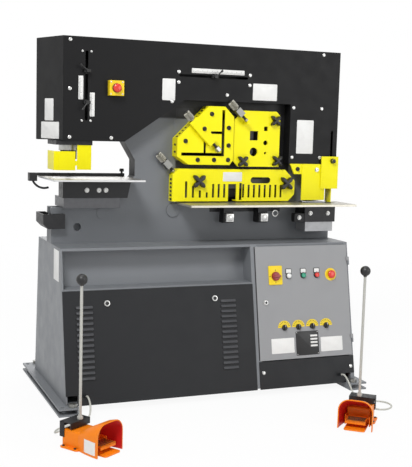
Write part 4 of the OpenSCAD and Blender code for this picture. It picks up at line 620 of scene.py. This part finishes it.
def makeDoorFittings():
    yellow, dark, white, ticks, lens = meshes(5)
    wide, high, above, tickOut = switchPlate.values()
    plate(yellow, wide, high, 5, 5, onRow("switch") @ shifted(0, above), 1.2)
    lathe(yellow, ringForm["collar"], onRow("estop", 0), 48, True)
    for x in dialRow["xs"]:
        halfDisc(yellow, dialRow["radius"], 1, onSlope(x, dialRow["z"]))
        for i in range(dialRow["ticks"]):
            turn = math.pi * (i + 1) / (dialRow["ticks"] + 1)
            spot = onSlope(x, dialRow["z"], 5.15) @ rotated(turn)
            bar(ticks, 10 if i % 4 == 0 else 7, 2, 0.5, spot @ shifted(dialRow["tickAt"], 0))
    for i in range(4):
        spot = onRow("switch", 9.1) @ rotated(math.pi / 2 * i)
        bar(ticks, 2.4, 8, 0.5, spot @ shifted(0, tickOut))
    for name in ("start", "stop"):
        lathe(dark, ringForm["bezel"], onRow(name, 0), 36, True)
    lathe(dark, ringForm["lamp"], onRow("lamp", 0), 36)
    for name in ("lamp", "start", "stop"):
        plate(dark, *legend["holder"], onRow(name) @ shifted(0, 21.5), 0.8)
        plate(white, *legend["insert"], onRow(name, 6.2) @ shifted(0, 22.5), 0.2)
    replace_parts(piece("doorYellowFittings", yellow, "yellow_fittings", body="door"), "door_fittings")
    piece("dialTicks", ticks, plateBlack, "knobs", body="door")
    piece("buttonHolders", dark, "knobs", body="door")
    piece("legendInserts", white, plateWhite, body="door")
    lathe(lens, ringForm["lens"], onRow("lamp", 0), 32)
    piece("lampLens", lens, lampLens, body="door")


def makeDoorPlates():
    gapShade, white, dark, fields, rivets = meshes(5)
    low, high = (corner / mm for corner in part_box("cabinet_door"))
    wide, thick, short, aside, out = doorGapShade.values()
    # black strip beside the door's left edge, painted shade for the gap
    bar(gapShade, wide, (high.z - low.z) / upSlope.z - short, thick,
        onSlope(low.x - aside, (low.z + high.z) / 2, out), 0.6)
    piece("doorGapShade", gapShade, "knobs", body="door")
    for x, z, wide, high in doorPlates["white"]:
        plate(white, wide, high, 3, 0.8, onSlope(x, z))
    x, z, wide, high = doorPlates["data"]
    plate(dark, wide, high, 4, 1.0, onSlope(x, z))
    for row in range(4):
        plate(fields, 38, 9, 1, 0.4, onSlope(x, z, 4.9) @ shifted(36, 34 - 16 * row), 0.1)
    for side in (-1, 1):
        for end in (-1, 1):
            lathe(rivets, [(0, 0), (2.6, 0), (2.3, 1.0), (1.2, 1.6), (0, 1.8)],
                  onSlope(x, z, 4.9) @ shifted(side * (wide / 2 - 6), end * (high / 2 - 6)), 12)
    piece("doorWhitePlates", white, plateWhite, body="door")
    piece("doorDataPlate", dark, plateBlack, "knobs", body="door")
    piece("dataPlateFields", fields, plateWhite, body="door")
    piece("dataPlateRivets", rivets, boltBright, "steel", body="door")


makeDoorFittings()
makeDoorPlates()


# turning knobs: a skirt with a rounded edge and a grip across it
def gripKnob(bm, across, high, grip, spot):
    r, h = across / 2, high / 2
    lathe(bm, [(0, 0), (r, 0), (r, h * 0.55), (r * 0.93, h * 0.9), (r * 0.8, h), (0, h)], spot, 40)
    bar(bm, grip, across * 0.98, h + 1, spot @ shifted(0, 0, high - h / 2 - 0.5), grip * 0.22, 3)


doorLock = {"x": 259, "z": 433, "out": 4.5, "slotOut": 15.3}


def makeKnobs():
    bm = bmesh.new()
    gripKnob(bm, 44, 16, 12, onRow("switch", 9.5) @ rotated(math.pi / 2))
    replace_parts(piece("mainSwitchHandle", bm, switchRed, "red", body="main_switch"), "main_switch_knob")
    for i, x in enumerate(dialRow["xs"], 1):
        bm, mark = meshes(2)
        spot = onSlope(x, dialRow["z"], 5.5)
        gripKnob(bm, 28, 14, 9, spot)
        bar(mark, 1.6, 10, 0.6, spot @ shifted(0, 8, 14))
        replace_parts(piece(f"selectorHandle{i}", bm, "knobs", body=f"selector_{i}"), f"selector_knob_{i}")
        piece(f"selectorPointer{i}", mark, plateWhite, body=f"selector_{i}")
    core, keyway = meshes(2)
    x, z, out, slotOut = doorLock.values()
    spot = onSlope(x, z, out)
    lathe(core, [(0, 0), (13, 0), (13, 2.2), (12.2, 3.4), (10.4, 3.9), (10, 8.6), (9.2, 9.6), (0, 10)], spot, 32)
    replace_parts(piece("doorLockCore", core, boltBright, "tooling", body="lock"), "door_lock")
    lathe(keyway, [(0, 9.4), (6.6, 9.4), (6.6, 10.1), (5.9, 10.6), (0, 10.6)], spot, 24)
    bar(keyway, 2.4, 11, 0.8, onSlope(x, z, slotOut), 0.2)
    piece("doorLockKeyway", keyway, "knobs", "tooling", body="lock")


# contact blocks behind the door: nut depth, then width, height and depth of the block
contactBlocks = {"start": (6, 30, 38, 28), "stop": (6, 30, 38, 28), "estop": (16, 30, 38, 28),
                 "lamp": (0, 28, 34, 26), "switch": (0, 54, 54, 44)}
dialBlock = (24, 24, 20)
nutRing = (11.6, 15.5)


def makeContactBlocks():
    bm = bmesh.new()
    rows = [(controlRow[name], controlRow["z"], *size) for name, size in contactBlocks.items()]
    rows += [(x, dialRow["z"], 0, *dialBlock) for x in dialRow["xs"]]
    for x, z, nut, wide, high, deep in rows:
        spot = onSlope(x, z, 0)
        bar(bm, wide, high, deep, spot @ shifted(0, 0, -(nut + deep / 2)), 1.5)
        for side in (-1, 1):
            bar(bm, wide * 0.7, 5, 5, spot @ shifted(0, side * (high / 2 - 4), -(nut + deep + 1.5)), 0.8)
        if nut:
            inner, outer = nutRing
            lathe(bm, [(inner, -nut), (outer, -nut), (outer, 0), (inner, 0)], spot, 28, True)
    piece("contactBlocks", bm, "knobs", body="door")


makeKnobs()
makeContactBlocks()


# hold-down screws: bright foot, dark thread, smooth shank and knurled knob, along the diagonal
holdDown = {"pitch": 4, "shank": 7, "root": 5.8, "foot": 9.5, "collar": 11, "knob": 17, "flutes": 30}
diagonal = math.sqrt(0.5)


def upLeft(x, y, z):
    return faceAt(x, y, z, (diagonal, 0, diagonal), (0, 1, 0))


def makeHoldDown(key, spot, start, threadEnd, end, footed=False):
    name, body = key + "HoldDownScrew", key + "_hold_screw"
    bm, thread = meshes(2)
    pitch, shank, root, foot, collar, knob, flutes = holdDown.values()
    if footed:
        lathe(bm, [(0, start), (foot - 0.8, start), (foot, start + 0.8), (foot, start + 9), (foot - 1, start + 10),
                   (0, start + 10)], spot, 24)
    form = [(0, start + 0.2), (root, start + 0.2), (shank, start + 1.5)]
    height = start + 4
    while height < threadEnd - 2:
        form += [(root, height), (shank, height + 2)]
        height += pitch
    lathe(thread, form + [(root, height), (0, height)], spot, 20)
    piece(name + "Thread", thread, boltBlack, "steel", body=body)
    lathe(bm, [(0, height - 1), (shank - 0.4, height - 1), (shank, height), (shank, end - 4), (collar, end - 4),
               (collar, end + 1), (0, end + 1)], spot, 20)
    lobed(bm, lambda turn: knob - 1.3 + 1.3 * math.cos(turn * flutes),
          [(0.0, 1), (2.5, 1.11), (34, 1), (3, 0.96), (2.4, 0.86)],
          spot @ shifted(0, 0, end) @ Matrix.Diagonal((0.9, 0.9, 1, 1)), flutes * 4)
    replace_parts(piece(name, bm, knobSilver, "steel", 40, body=body), key + "_screw")


makeHoldDown("angle", upLeft(64, -128, 1152), 22.5, 120, 206)
makeHoldDown("bar", upLeft(163, -130, 1337), -56, 18, 26, True)
makeHoldDown("flat", upLeft(-144.5, -70, 1047.5), 0.5, 44, 74, True)


# star knobs with their studs and washers
starKnob = {"small": (20.5, 11.5), "large": (25.5, 14.5), "over": 55, "deep": 24, "stud": 6,
            "steps": [(15, 1), (5, 0.95), (3, 0.8), (1, 0.6)]}


def makeStarKnobs():
    bm = bmesh.new()
    for low, high in solidsOf("star_knobs"):
        middle, front = (low + high) / 2, low.y + starKnob["deep"] * mm
        spot = faceFrame((middle.x, front, middle.z))
        between, swing = starKnob["large" if high.x - low.x > starKnob["over"] * mm else "small"]
        lobed(bm, lambda turn: between - swing * math.cos(4 * turn), starKnob["steps"], spot, 72)
        lathe(bm, [(0, 20), (7.5, 20), (7.5, 24), (6, 24.6), (0, 24.6)], spot, 20)
        behind = (high.y - front) / mm
        lathe(bm, [(0, -behind), (starKnob["stud"], -behind), (starKnob["stud"], 0.5), (0, 0.5)], spot, 20)
    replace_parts(piece("starKnobs", bm, "knobs", "tooling", smooth=45), "star_knobs")


makeStarKnobs()
print("buttons, knobs and screws made")


# socket bolts where the photograph shows them: front face, finish, then x and z
socketBolt = [(0, 0), (11, 0), (11, 1.6), (8.2, 1.6), (8.2, 8.4), (7.4, 9.2), (4, 9.2), (4, 5), (0, 5)]
boltRows = {
    "angleGuardBolts": (-115, boltBlack, [(26, 1325), (-105, 1194), (116, 1261), (117, 1177), (116, 1108),
                                          (43, 1107), (-41, 1106)]),
    "angleBarBolt": (-141, boltBlack, [(-20, 1254)]), "notchBracketBolt": (-113, boltBlack, [(497, 1067)]),
    "notchGuardBolt": (-118, boltBright, [(602, 1065)]),
    "dieHolderBolts": (-100, boltBright, [(-576, 960), (-519, 960), (-486, 960)]),
    "notchDieBolts": (-150, boltBright, [(559, 849), (658, 848)]), "dieLugBolt": (-148, boltBright, [(498, 827)]),
}
dieLug = (472, -148, 804), (532, -112, 848)


def makeSocketBolts():
    for name, (front, look, spots) in boltRows.items():
        bm = bmesh.new()
        for x, z in spots:
            lathe(bm, socketBolt, faceAt(x, front, z), 20)
        piece(name, bm, look, "steel" if look == boltBright else "tooling")
    bm = bmesh.new()
    block(bm, *dieLug, edge=2)
    piece("notchDieLug", bm, "tooling")


# plain sheet beside the angle guard
cornerSheet = {"x": (-138, -44), "z": (1180, 1299), "front": -46}


def makeCornerSheet():
    bm = bmesh.new()
    (left, right), (low, high) = cornerSheet["x"], cornerSheet["z"]
    spot = faceAt((left + right) / 2, cornerSheet["front"] + 1, (low + high) / 2)
    plate(bm, right - left, high - low, 0, 1, spot)
    piece("bladeCornerSheet", bm, "frame")


# dark plates as painted shade for the vent slots in the left walls of the guards: width and height, then x, y and
# heights or steps along the slope
ventShadeMarks = {"size": (25, 10), "flat": (-159, -72, [916, 935, 954, 973, 992, 1011]),
              "left": (-146, -82, [1142, 1176]), "slope": (-68, -82, 1284, [-98, -78, -58, -38, 38, 58, 78, 98])}


def makeVentShadeMarks():
    still, moving = meshes(2)

    def ventMark(bm, x, y, z, up=(0, 0, 1)):
        plate(bm, *ventShadeMarks["size"], 4, 0.3, faceAt(x, y, z, (0, -1, 0), up), 0.1)

    for key, bm in (("flat", moving), ("left", still)):
        x, y, heights = ventShadeMarks[key]
        for z in heights:
            ventMark(bm, x, y, z)
    x, y, z, steps = ventShadeMarks["slope"]
    for step in steps:
        ventMark(still, x + step * diagonal, y, z + step * diagonal, (diagonal, 0, diagonal))
    # the dark plates stand for the slots: painted shade of the holes
    piece("angleGuardVentShade", still, plateBlack, "knobs")
    piece("flatGuardVentShade", moving, plateBlack, "knobs", body="flat_hold_down")


makeSocketBolts()
makeCornerSheet()
makeVentShadeMarks()


# dark sheets over the openings at the back as painted shade, so that the openings look dark; open below: x, z and
# depth
shadeSheets = {"wall": 45, "sheet": 2, "flange": 16, "inset": 24,
              "boxes": [(-148, 138, 1086, 1352, 46), (30, 466, 826, 992, 58)]}


def makeShadeSheets():
    bm, screws = meshes(2)
    wall, sheet, flange, inset, boxes = shadeSheets.values()
    for left, right, low, high, deep in boxes:
        back = wall + deep
        block(bm, (left, back - sheet, low), (right, back, high), edge=0.6)
        block(bm, (left, wall, high - sheet), (right, back, high), edge=0.6)
        for side, x in ((-1, left), (1, right)):
            block(bm, (x, wall, low), (x - side * sheet, back, high), edge=0.6)
            block(bm, (x, wall, low), (x + side * flange, wall + sheet, high), edge=0.6)
            for z in (low + inset, high - inset):
                spot = faceAt(x + side * flange / 2, wall + sheet, z, (-1, 0, 0))
                lathe(screws, smallHead(0.7), spot, 16)
    piece("rearShadeSheets", bm, "covers")
    piece("shadeSheetScrews", screws, boltGrey, "steel")


makeShadeSheets()


# clamp knobs of the fence and the sliding guard: body, place, stem, mean radius, swing, lobes, steps and points
clampKnobs = {
    "fenceEndKnob": ("back_fence", shifted(-361, 70, 1030.4), 8, 10.2, 1.1, 6,
                     [(10, 1), (3, 0.92), (1.4, 0.75)], 60),
    "shieldKnob": ("notch_shield", faceAt(686, -126, 1110), 0, 12.3, 0.8, 8,
                   [(12, 1), (3.2, 0.94), (1.6, 0.8)], 64),
}


def makeClampKnob(name):
    bm = bmesh.new()
    body, spot, stem, radius, swing, lobes, steps, count = clampKnobs[name]
    if stem:
        lathe(bm, [(0, 0), (5, 0), (5, stem + 0.5), (0, stem + 0.5)], spot, 20)
    lobed(bm, lambda turn: radius + swing * math.cos(turn * lobes), steps, spot @ shifted(0, 0, stem), count)
    piece(name, bm, "knobs", smooth=40, body=body)


# clamp bolts and locating ring under the shear table
tableClamps = {"xs": [134, 319], "front": -122, "z": 827, "across": 42.6, "deep": 22.6, "ring": (413, -45, 840)}


def makeTableClamps():
    bm = bmesh.new()
    xs, front, z, across, deep, ring = tableClamps.values()
    for x in xs:
        spot = faceAt(x, front + deep / 2 - 0.3, z)
        bar(bm, across, across, deep, spot, 3, 3)
        lathe(bm, [(0, 0), (15, 0), (15, 1.2), (13.6, 2.2), (0, 2.4)], spot @ shifted(0, 0, deep / 2), 28)
    lathe(bm, [(11.7, 0), (17.3, 0), (17.3, 4.4), (16.4, 5.4), (12.6, 5.4), (11.7, 4.4)],
          faceAt(*ring), 36, True)
    piece("tableClampBolts", bm, boltBright, "steel")


makeClampKnob("fenceEndKnob")
makeTableClamps()
makeClampKnob("shieldKnob")


# scales with plain ticks beside the stroke slots, and the bare plates of the cover
coverScales = {"upright": [(-612.5, 1371, 1476), (-559, 1296, 1403)], "level": [(1525, -80, 191)],
               "wide": 22, "step": 5}
coverPlates = [(-193, 1432, 64, 100), (304, 1438, 130, 80), (532, 1227, 93, 166)]
flatGuardPlate = {"place": (151.5, -95, 1025.5), "size": (101, 45)}
sidePlate = {"place": (-727.5, -157, 627), "size": (100, 140)}
endPlates = {"near": (-695, -107), "far": (-769, 104), "rows": [(0.5, 1323, 74, 100), (0.54, 1229, 152, 76)]}


def makeScales():
    white, ticks, plates, guard = meshes(4)
    wide, step = coverScales["wide"], coverScales["step"]
    for kind in ("upright", "level"):
        def turned(across, along):
            return (across, along) if kind == "upright" else (along, across)

        for middle, low, high in coverScales[kind]:
            plate(white, *turned(wide, high - low), 1.5, 0.8, onCover(*turned(middle, (low + high) / 2)))
            for i in range(int((high - low - 6) / step)):
                long = 13 if i % 5 == 0 else 8
                place = turned(middle - wide / 2 + 1.5 + long / 2, low + 5 + i * step)
                bar(ticks, *turned(long, 0.9), 0.3, onCover(*place, 0.9))
    for x, z, across, high in coverPlates:
        plate(plates, across, high, 4, 0.8, onCover(x, z))
    plate(plates, *sidePlate["size"], 4, 0.8, faceAt(*sidePlate["place"], (0, -1, 0)))
    near, far = (Vector(endPlates[key]).to_3d() for key in ("near", "far"))
    for share, z, across, high in endPlates["rows"]:
        spot = (far.lerp(near, share) + Vector((0, 0, z))) * mm
        plate(plates, across, high, 4, 0.8, faceFrame(spot, (near - far).normalized()))
    plate(guard, *flatGuardPlate["size"], 3, 0.8, faceAt(*flatGuardPlate["place"]))
    piece("flatGuardPlate", guard, plateWhite, body="flat_hold_down")
    piece("strokeScales", white, plateWhite)
    piece("scaleTicks", ticks, plateBlack)
    piece("coverPlates", plates, plateWhite)


# clamp levers of the stroke stops, with hub, arm and end ball: the node that each sits on, and its tilt
reach = 46
clampLevers = {"upper": ("punch_stop_upper", 2.5), "lower": ("punch_stop_lower", -2.2),
               "shear": ("shear_stop", 0.75)}


def makeLevers():
    for key, (solid, tilt) in clampLevers.items():
        low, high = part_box(solid)
        bm = bmesh.new()
        spot = faceFrame(((low.x + high.x) / 2, low.y, (low.z + high.z) / 2))
        lathe(bm, [(0, 0), (8.5, 0), (8.5, 9), (7.4, 11), (0, 11.6)], spot, 24)
        arm = spot @ rotated(tilt) @ shifted(0, 0, 8) @ rotated(math.pi / 2, "Y")
        lathe(bm, [(0, 3), (3.6, 3), (3.0, reach - 14), (4.6, reach - 11), (5.6, reach - 6), (4.4, reach - 1),
                   (0, reach)], arm, 16)
        piece(key + "StopLever", bm, "knobs", "tooling", smooth=40, body="stroke_stop_" + key)


makeScales()
makeLevers()


# foot pedals: a lofted hood with a red inside, a cast case, a sole and a cord gland
pedalPlaces = {"left": (-680, -896, 33), "right": (385, -935, -41)}
pedalForm = {"hood": [(0, 150, 130, 50), (30, 145, 122, 48), (70, 131, 102, 39), (115, 109, 77, 25)], "wall": 4.6,
             "inside": (55, 40), "case": (104, 110, 72, 150), "soles": [(136, 95, 12, 157.5), (90, 133, 10, 48.5)],
             "cheek": (5, 35, 44, 52.5, 81.5), "bolts": (59, [128, 190]), "gland": (0, 205, 40),
             "treadle": [(88, 72, 6, 44, 0), (88, 6, 15, 11, -4.5)], "treadleZ": 34, "pin": (3, 55, 74),
             "ribs": 6, "rib": (18, 9)}
handle = {"aside": 12, "back": 168, "foot": 102, "top": 660, "ball": 22.5, "rod": 6}
bracket = {"half": 56, "front": 154, "back": 214, "top": 102, "sheet": 4, "lip": 76, "leg": 24, "low": 40}


def pedalFrame(side):
    x, y, turn = pedalPlaces[side]
    return shifted(x, y) @ rotated(math.radians(turn))


def archVerts(part, y, wide, high, corner, steps=7):
    spots = [(-wide / 2, 0), (-wide / 2, (high - corner) / 2)]
    for side in (-1, 1):
        for i in range(steps + 1):
            turn = math.pi / 2 * (i / steps if side < 0 else 1 - i / steps)
            across, up = corner * math.cos(turn), corner * math.sin(turn)
            spots.append((side * (wide / 2 - corner + across), high - corner + up))
    spots += [(wide / 2, (high - corner) / 2), (wide / 2, 0)]
    verts = [part.verts.new((x * mm, y * mm, z * mm)) for x, z in spots]
    return [part.edges.new(pair) for pair in zip(verts, verts[1:])]


# a sheet through the loops, its normals turned outward before it gets its thickness
def lofted(part, loops, outward, thick):
    for first, second in zip(loops, loops[1:]):
        bmesh.ops.bridge_loops(part, edges=first + second)
    bmesh.ops.recalc_face_normals(part, faces=part.faces)
    if sum(outward(face) for face in part.faces) < 0:
        bmesh.ops.reverse_faces(part, faces=part.faces)
    bmesh.ops.solidify(part, geom=part.faces[:], thickness=thick * mm)


def makeHood(bm, spot):
    part = bmesh.new()
    y, z = (value * mm for value in pedalForm["inside"])
    lofted(part, [archVerts(part, *row) for row in pedalForm["hood"]],
           lambda face: (face.calc_center_median() - Vector((0, y, z))).dot(face.normal), pedalForm["wall"])
    for face in part.faces:
        away = face.calc_center_median() - Vector((0, face.calc_center_median().y, z))
        face.material_index = 1 if away.dot(face.normal) < -0.2 * away.length else 0
    added(bm, part, spot)


# folded bracket behind the hood, with the handle's foot, rod and ball on it
def makeBracket(bm, spot):
    half, front, back, top, sheet, lip, leg, low = bracket.values()
    block(bm, (-half, front, top - sheet), (half, back, top), spot, 1.2)
    for y, inward in ((front, sheet), (back, -sheet)):
        block(bm, (-half, y, lip), (half, y + inward, top), spot, 1.2)
    for side in (-1, 1):
        block(bm, (side * half, back - leg, low), (side * (half - sheet), back, top), spot, 1.2)


def makeHandle(rods, balls, spot):
    low, top, radius, rod = (handle[key] for key in ("foot", "top", "ball", "rod"))
    high, foot = top - low, spot @ shifted(0, 0, low)
    lathe(rods, [(0, 0), (12, 0), (12, 8), (11, 10.5), (8.5, 12), (8.5, 16), (7.6, 17), (0, 17)], foot, 28)
    lathe(rods, [(0, 10), (rod, 10), (rod, high - 18), (5, high - 17), (0, high - 17)], foot, 20)
    form = [(0, -radius - 1.5), (8, -radius - 1.5), (8.6, 2.5 - radius)]
    form += [(radius * math.sin(t), -radius * math.cos(t)) for t in [0.5 + 2.64 * i / 14 for i in range(14)]]
    lathe(balls, form + [(0, radius)], spot @ shifted(0, 0, top), 32)


def makePedals():
    shells, straps, rods, balls, glands = meshes(5)
    for side in pedalPlaces:
        spot = pedalFrame(side)
        makeHood(shells, spot)
        wide, long, high, y = pedalForm["case"]
        bar(shells, wide, long, high, spot @ shifted(0, y, high / 2), 7, 4)
        for wide, long, corner, y in pedalForm["soles"]:
            plate(shells, wide, long, corner, 6, spot @ shifted(0, y), 1.5)
        wide, long, high, x, y = pedalForm["cheek"]
        boltX, boltYs = pedalForm["bolts"]
        for end in (-1, 1):
            bar(shells, wide, long, high, spot @ shifted(end * x, y, high / 2), 1)
            for boltY in boltYs:
                lathe(glands, [(0, 0), (5.5, 0), (5.5, 3), (4.6, 3.8), (2, 3.8), (2, 2), (0, 2)],
                      spot @ shifted(end * boltX, boltY, 6), 14)
        makeBracket(straps, spot)
        aside = math.copysign(handle["aside"], pedalPlaces[side][2])
        makeHandle(rods, balls, spot @ shifted(aside, handle["back"]))
        back = spot @ faceAt(*pedalForm["gland"], (-1, 0, 0))
        lobed(glands, lambda turn: 9.4, [(6, 1), (1, 0.92)], back, 6)
        lathe(glands, [(0, 5), (7, 5), (7, 11), (6.2, 14), (4.6, 20), (0, 20)], back, 20)
    shell = piece("pedalShells", shells, [finish["pedal_shell"], hoodRed], "pedal_shell", smooth=40)
    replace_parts(shell, "pedal_bodies")
    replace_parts(piece("pedalBrackets", straps, "tooling"), "pedal_handles")
    piece("pedalRods", rods, rodGrey, "steel")
    piece("pedalBalls", balls, "knobs", smooth=60)
    piece("pedalGlands", glands, "knobs")


# plain plate bent round the left wall of the left hood
hoodPlate = {"low": 9, "high": 61, "row": [(11, -74.1), (30, -72.5), (70, -65.5), (76, -64.0)], "thick": 0.8}


def makeHoodPlate():
    part, bm = meshes(2)
    loops = []
    for y, x in hoodPlate["row"]:
        ends = [part.verts.new((x * mm, y * mm, hoodPlate[key] * mm)) for key in ("low", "high")]
        loops.append([part.edges.new(ends)])
    lofted(part, loops, lambda face: -face.normal.x, -hoodPlate["thick"])
    added(bm, part, pedalFrame("left"))
    piece("leftPedalPlate", bm, plateWhite)


def makeTreadles():
    level = pedalForm["treadleZ"]
    first, step = pedalForm["rib"]
    for side in pedalPlaces:
        spot = pedalFrame(side)
        bm, grip = meshes(2)
        for wide, long, high, y, up in pedalForm["treadle"]:
            bar(bm, wide, long, high, spot @ shifted(0, y, level + up), 1.6, 3)
        radius, half, y = pedalForm["pin"]
        lathe(bm, [(0, -half), (radius, -half), (radius, half), (0, half)],
              spot @ shifted(0, y, level) @ rotated(math.pi / 2, "Y"), 16)
        for i in range(pedalForm["ribs"]):
            bar(grip, 78, 3.4, 1.8, spot @ shifted(0, first + step * i, level + 3.6), 0.6)
        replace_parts(piece(side + "Treadle", bm, "pedal_shell", body=side + "_foot"), side + "_treadle")
        piece(side + "TreadleGrip", grip, plateBlack, "knobs", body=side + "_foot")


makePedals()
makeHoodPlate()
makeTreadles()
print("pedals made")


# floor and light
studio = {"half": 30.0, "floor": linear(250, 250, 250), "glow": 0.92, "fade": (2.2, 5.0), "world": 0.3}
lamps = {"key": ((-2.6, -3.6, 5.0), 1.6, 210), "fill": ((3.4, -5.0, 2.0), 3.2, 70),
         "top": ((0.4, 0.6, 5.4), 3.0, 70), "back": ((1.5, 4.8, 3.2), 3.2, 80)}
aim = Vector((0, 0, 0.8))


# rays from the camera and mirror rays see white, all others the plain light level
def seenDirectly(tree):
    path = node(tree, "LightPath").outputs
    seen = maths(tree, "MAXIMUM", path["Is Camera Ray"], path["Is Glossy Ray"])
    return maths(tree, "MAXIMUM", seen, path["Is Transmission Ray"])


def makeStudio():
    bm = bmesh.new()
    bmesh.ops.create_grid(bm, x_segments=1, y_segments=1, size=studio["half"])
    floor = linked("studioFloor", baked("studioFloor", bm))
    material, tree, shader = blank("studioFloor")
    shader.inputs["Base Color"].default_value = studio["floor"]
    shader.inputs["Roughness"].default_value = 0.9
    glow = node(tree, "Emission", Strength=1.0)
    away = node(tree, "VectorMath", [(0, objectSpot(tree))], operation="LENGTH").outputs["Value"]
    share = maths(tree, "MULTIPLY", seenDirectly(tree), ranged(tree, away, studio["glow"], 1, *studio["fade"]))
    lit = node(tree, "MixShader", [(0, share), (1, shader.outputs[0]), (2, glow.outputs[0])])
    tree.links.new(lit.outputs[0], tree.nodes["Material Output"].inputs["Surface"])
    floor.data.materials.append(material)
    world = bpy.data.worlds.new("studioWorld")
    world.use_nodes = True
    scene.world, tree = world, world.node_tree
    sky = tree.nodes["Background"].inputs
    sky["Color"].default_value = (1, 1, 1, 1)
    tree.links.new(ranged(tree, seenDirectly(tree), studio["world"], 1, 0, 1), sky["Strength"])
    for name, (place, size, power) in lamps.items():
        lamp = bpy.data.lights.new(name + "Lamp", "AREA")
        lamp.size, lamp.energy = size, power
        item = linked(name + "Lamp", lamp)
        item.location = place
        item.rotation_euler = (aim - Vector(place)).to_track_quat("-Z", "Y").to_euler()


makeStudio()
scene.view_settings.view_transform = "Standard"
print("studio ready")
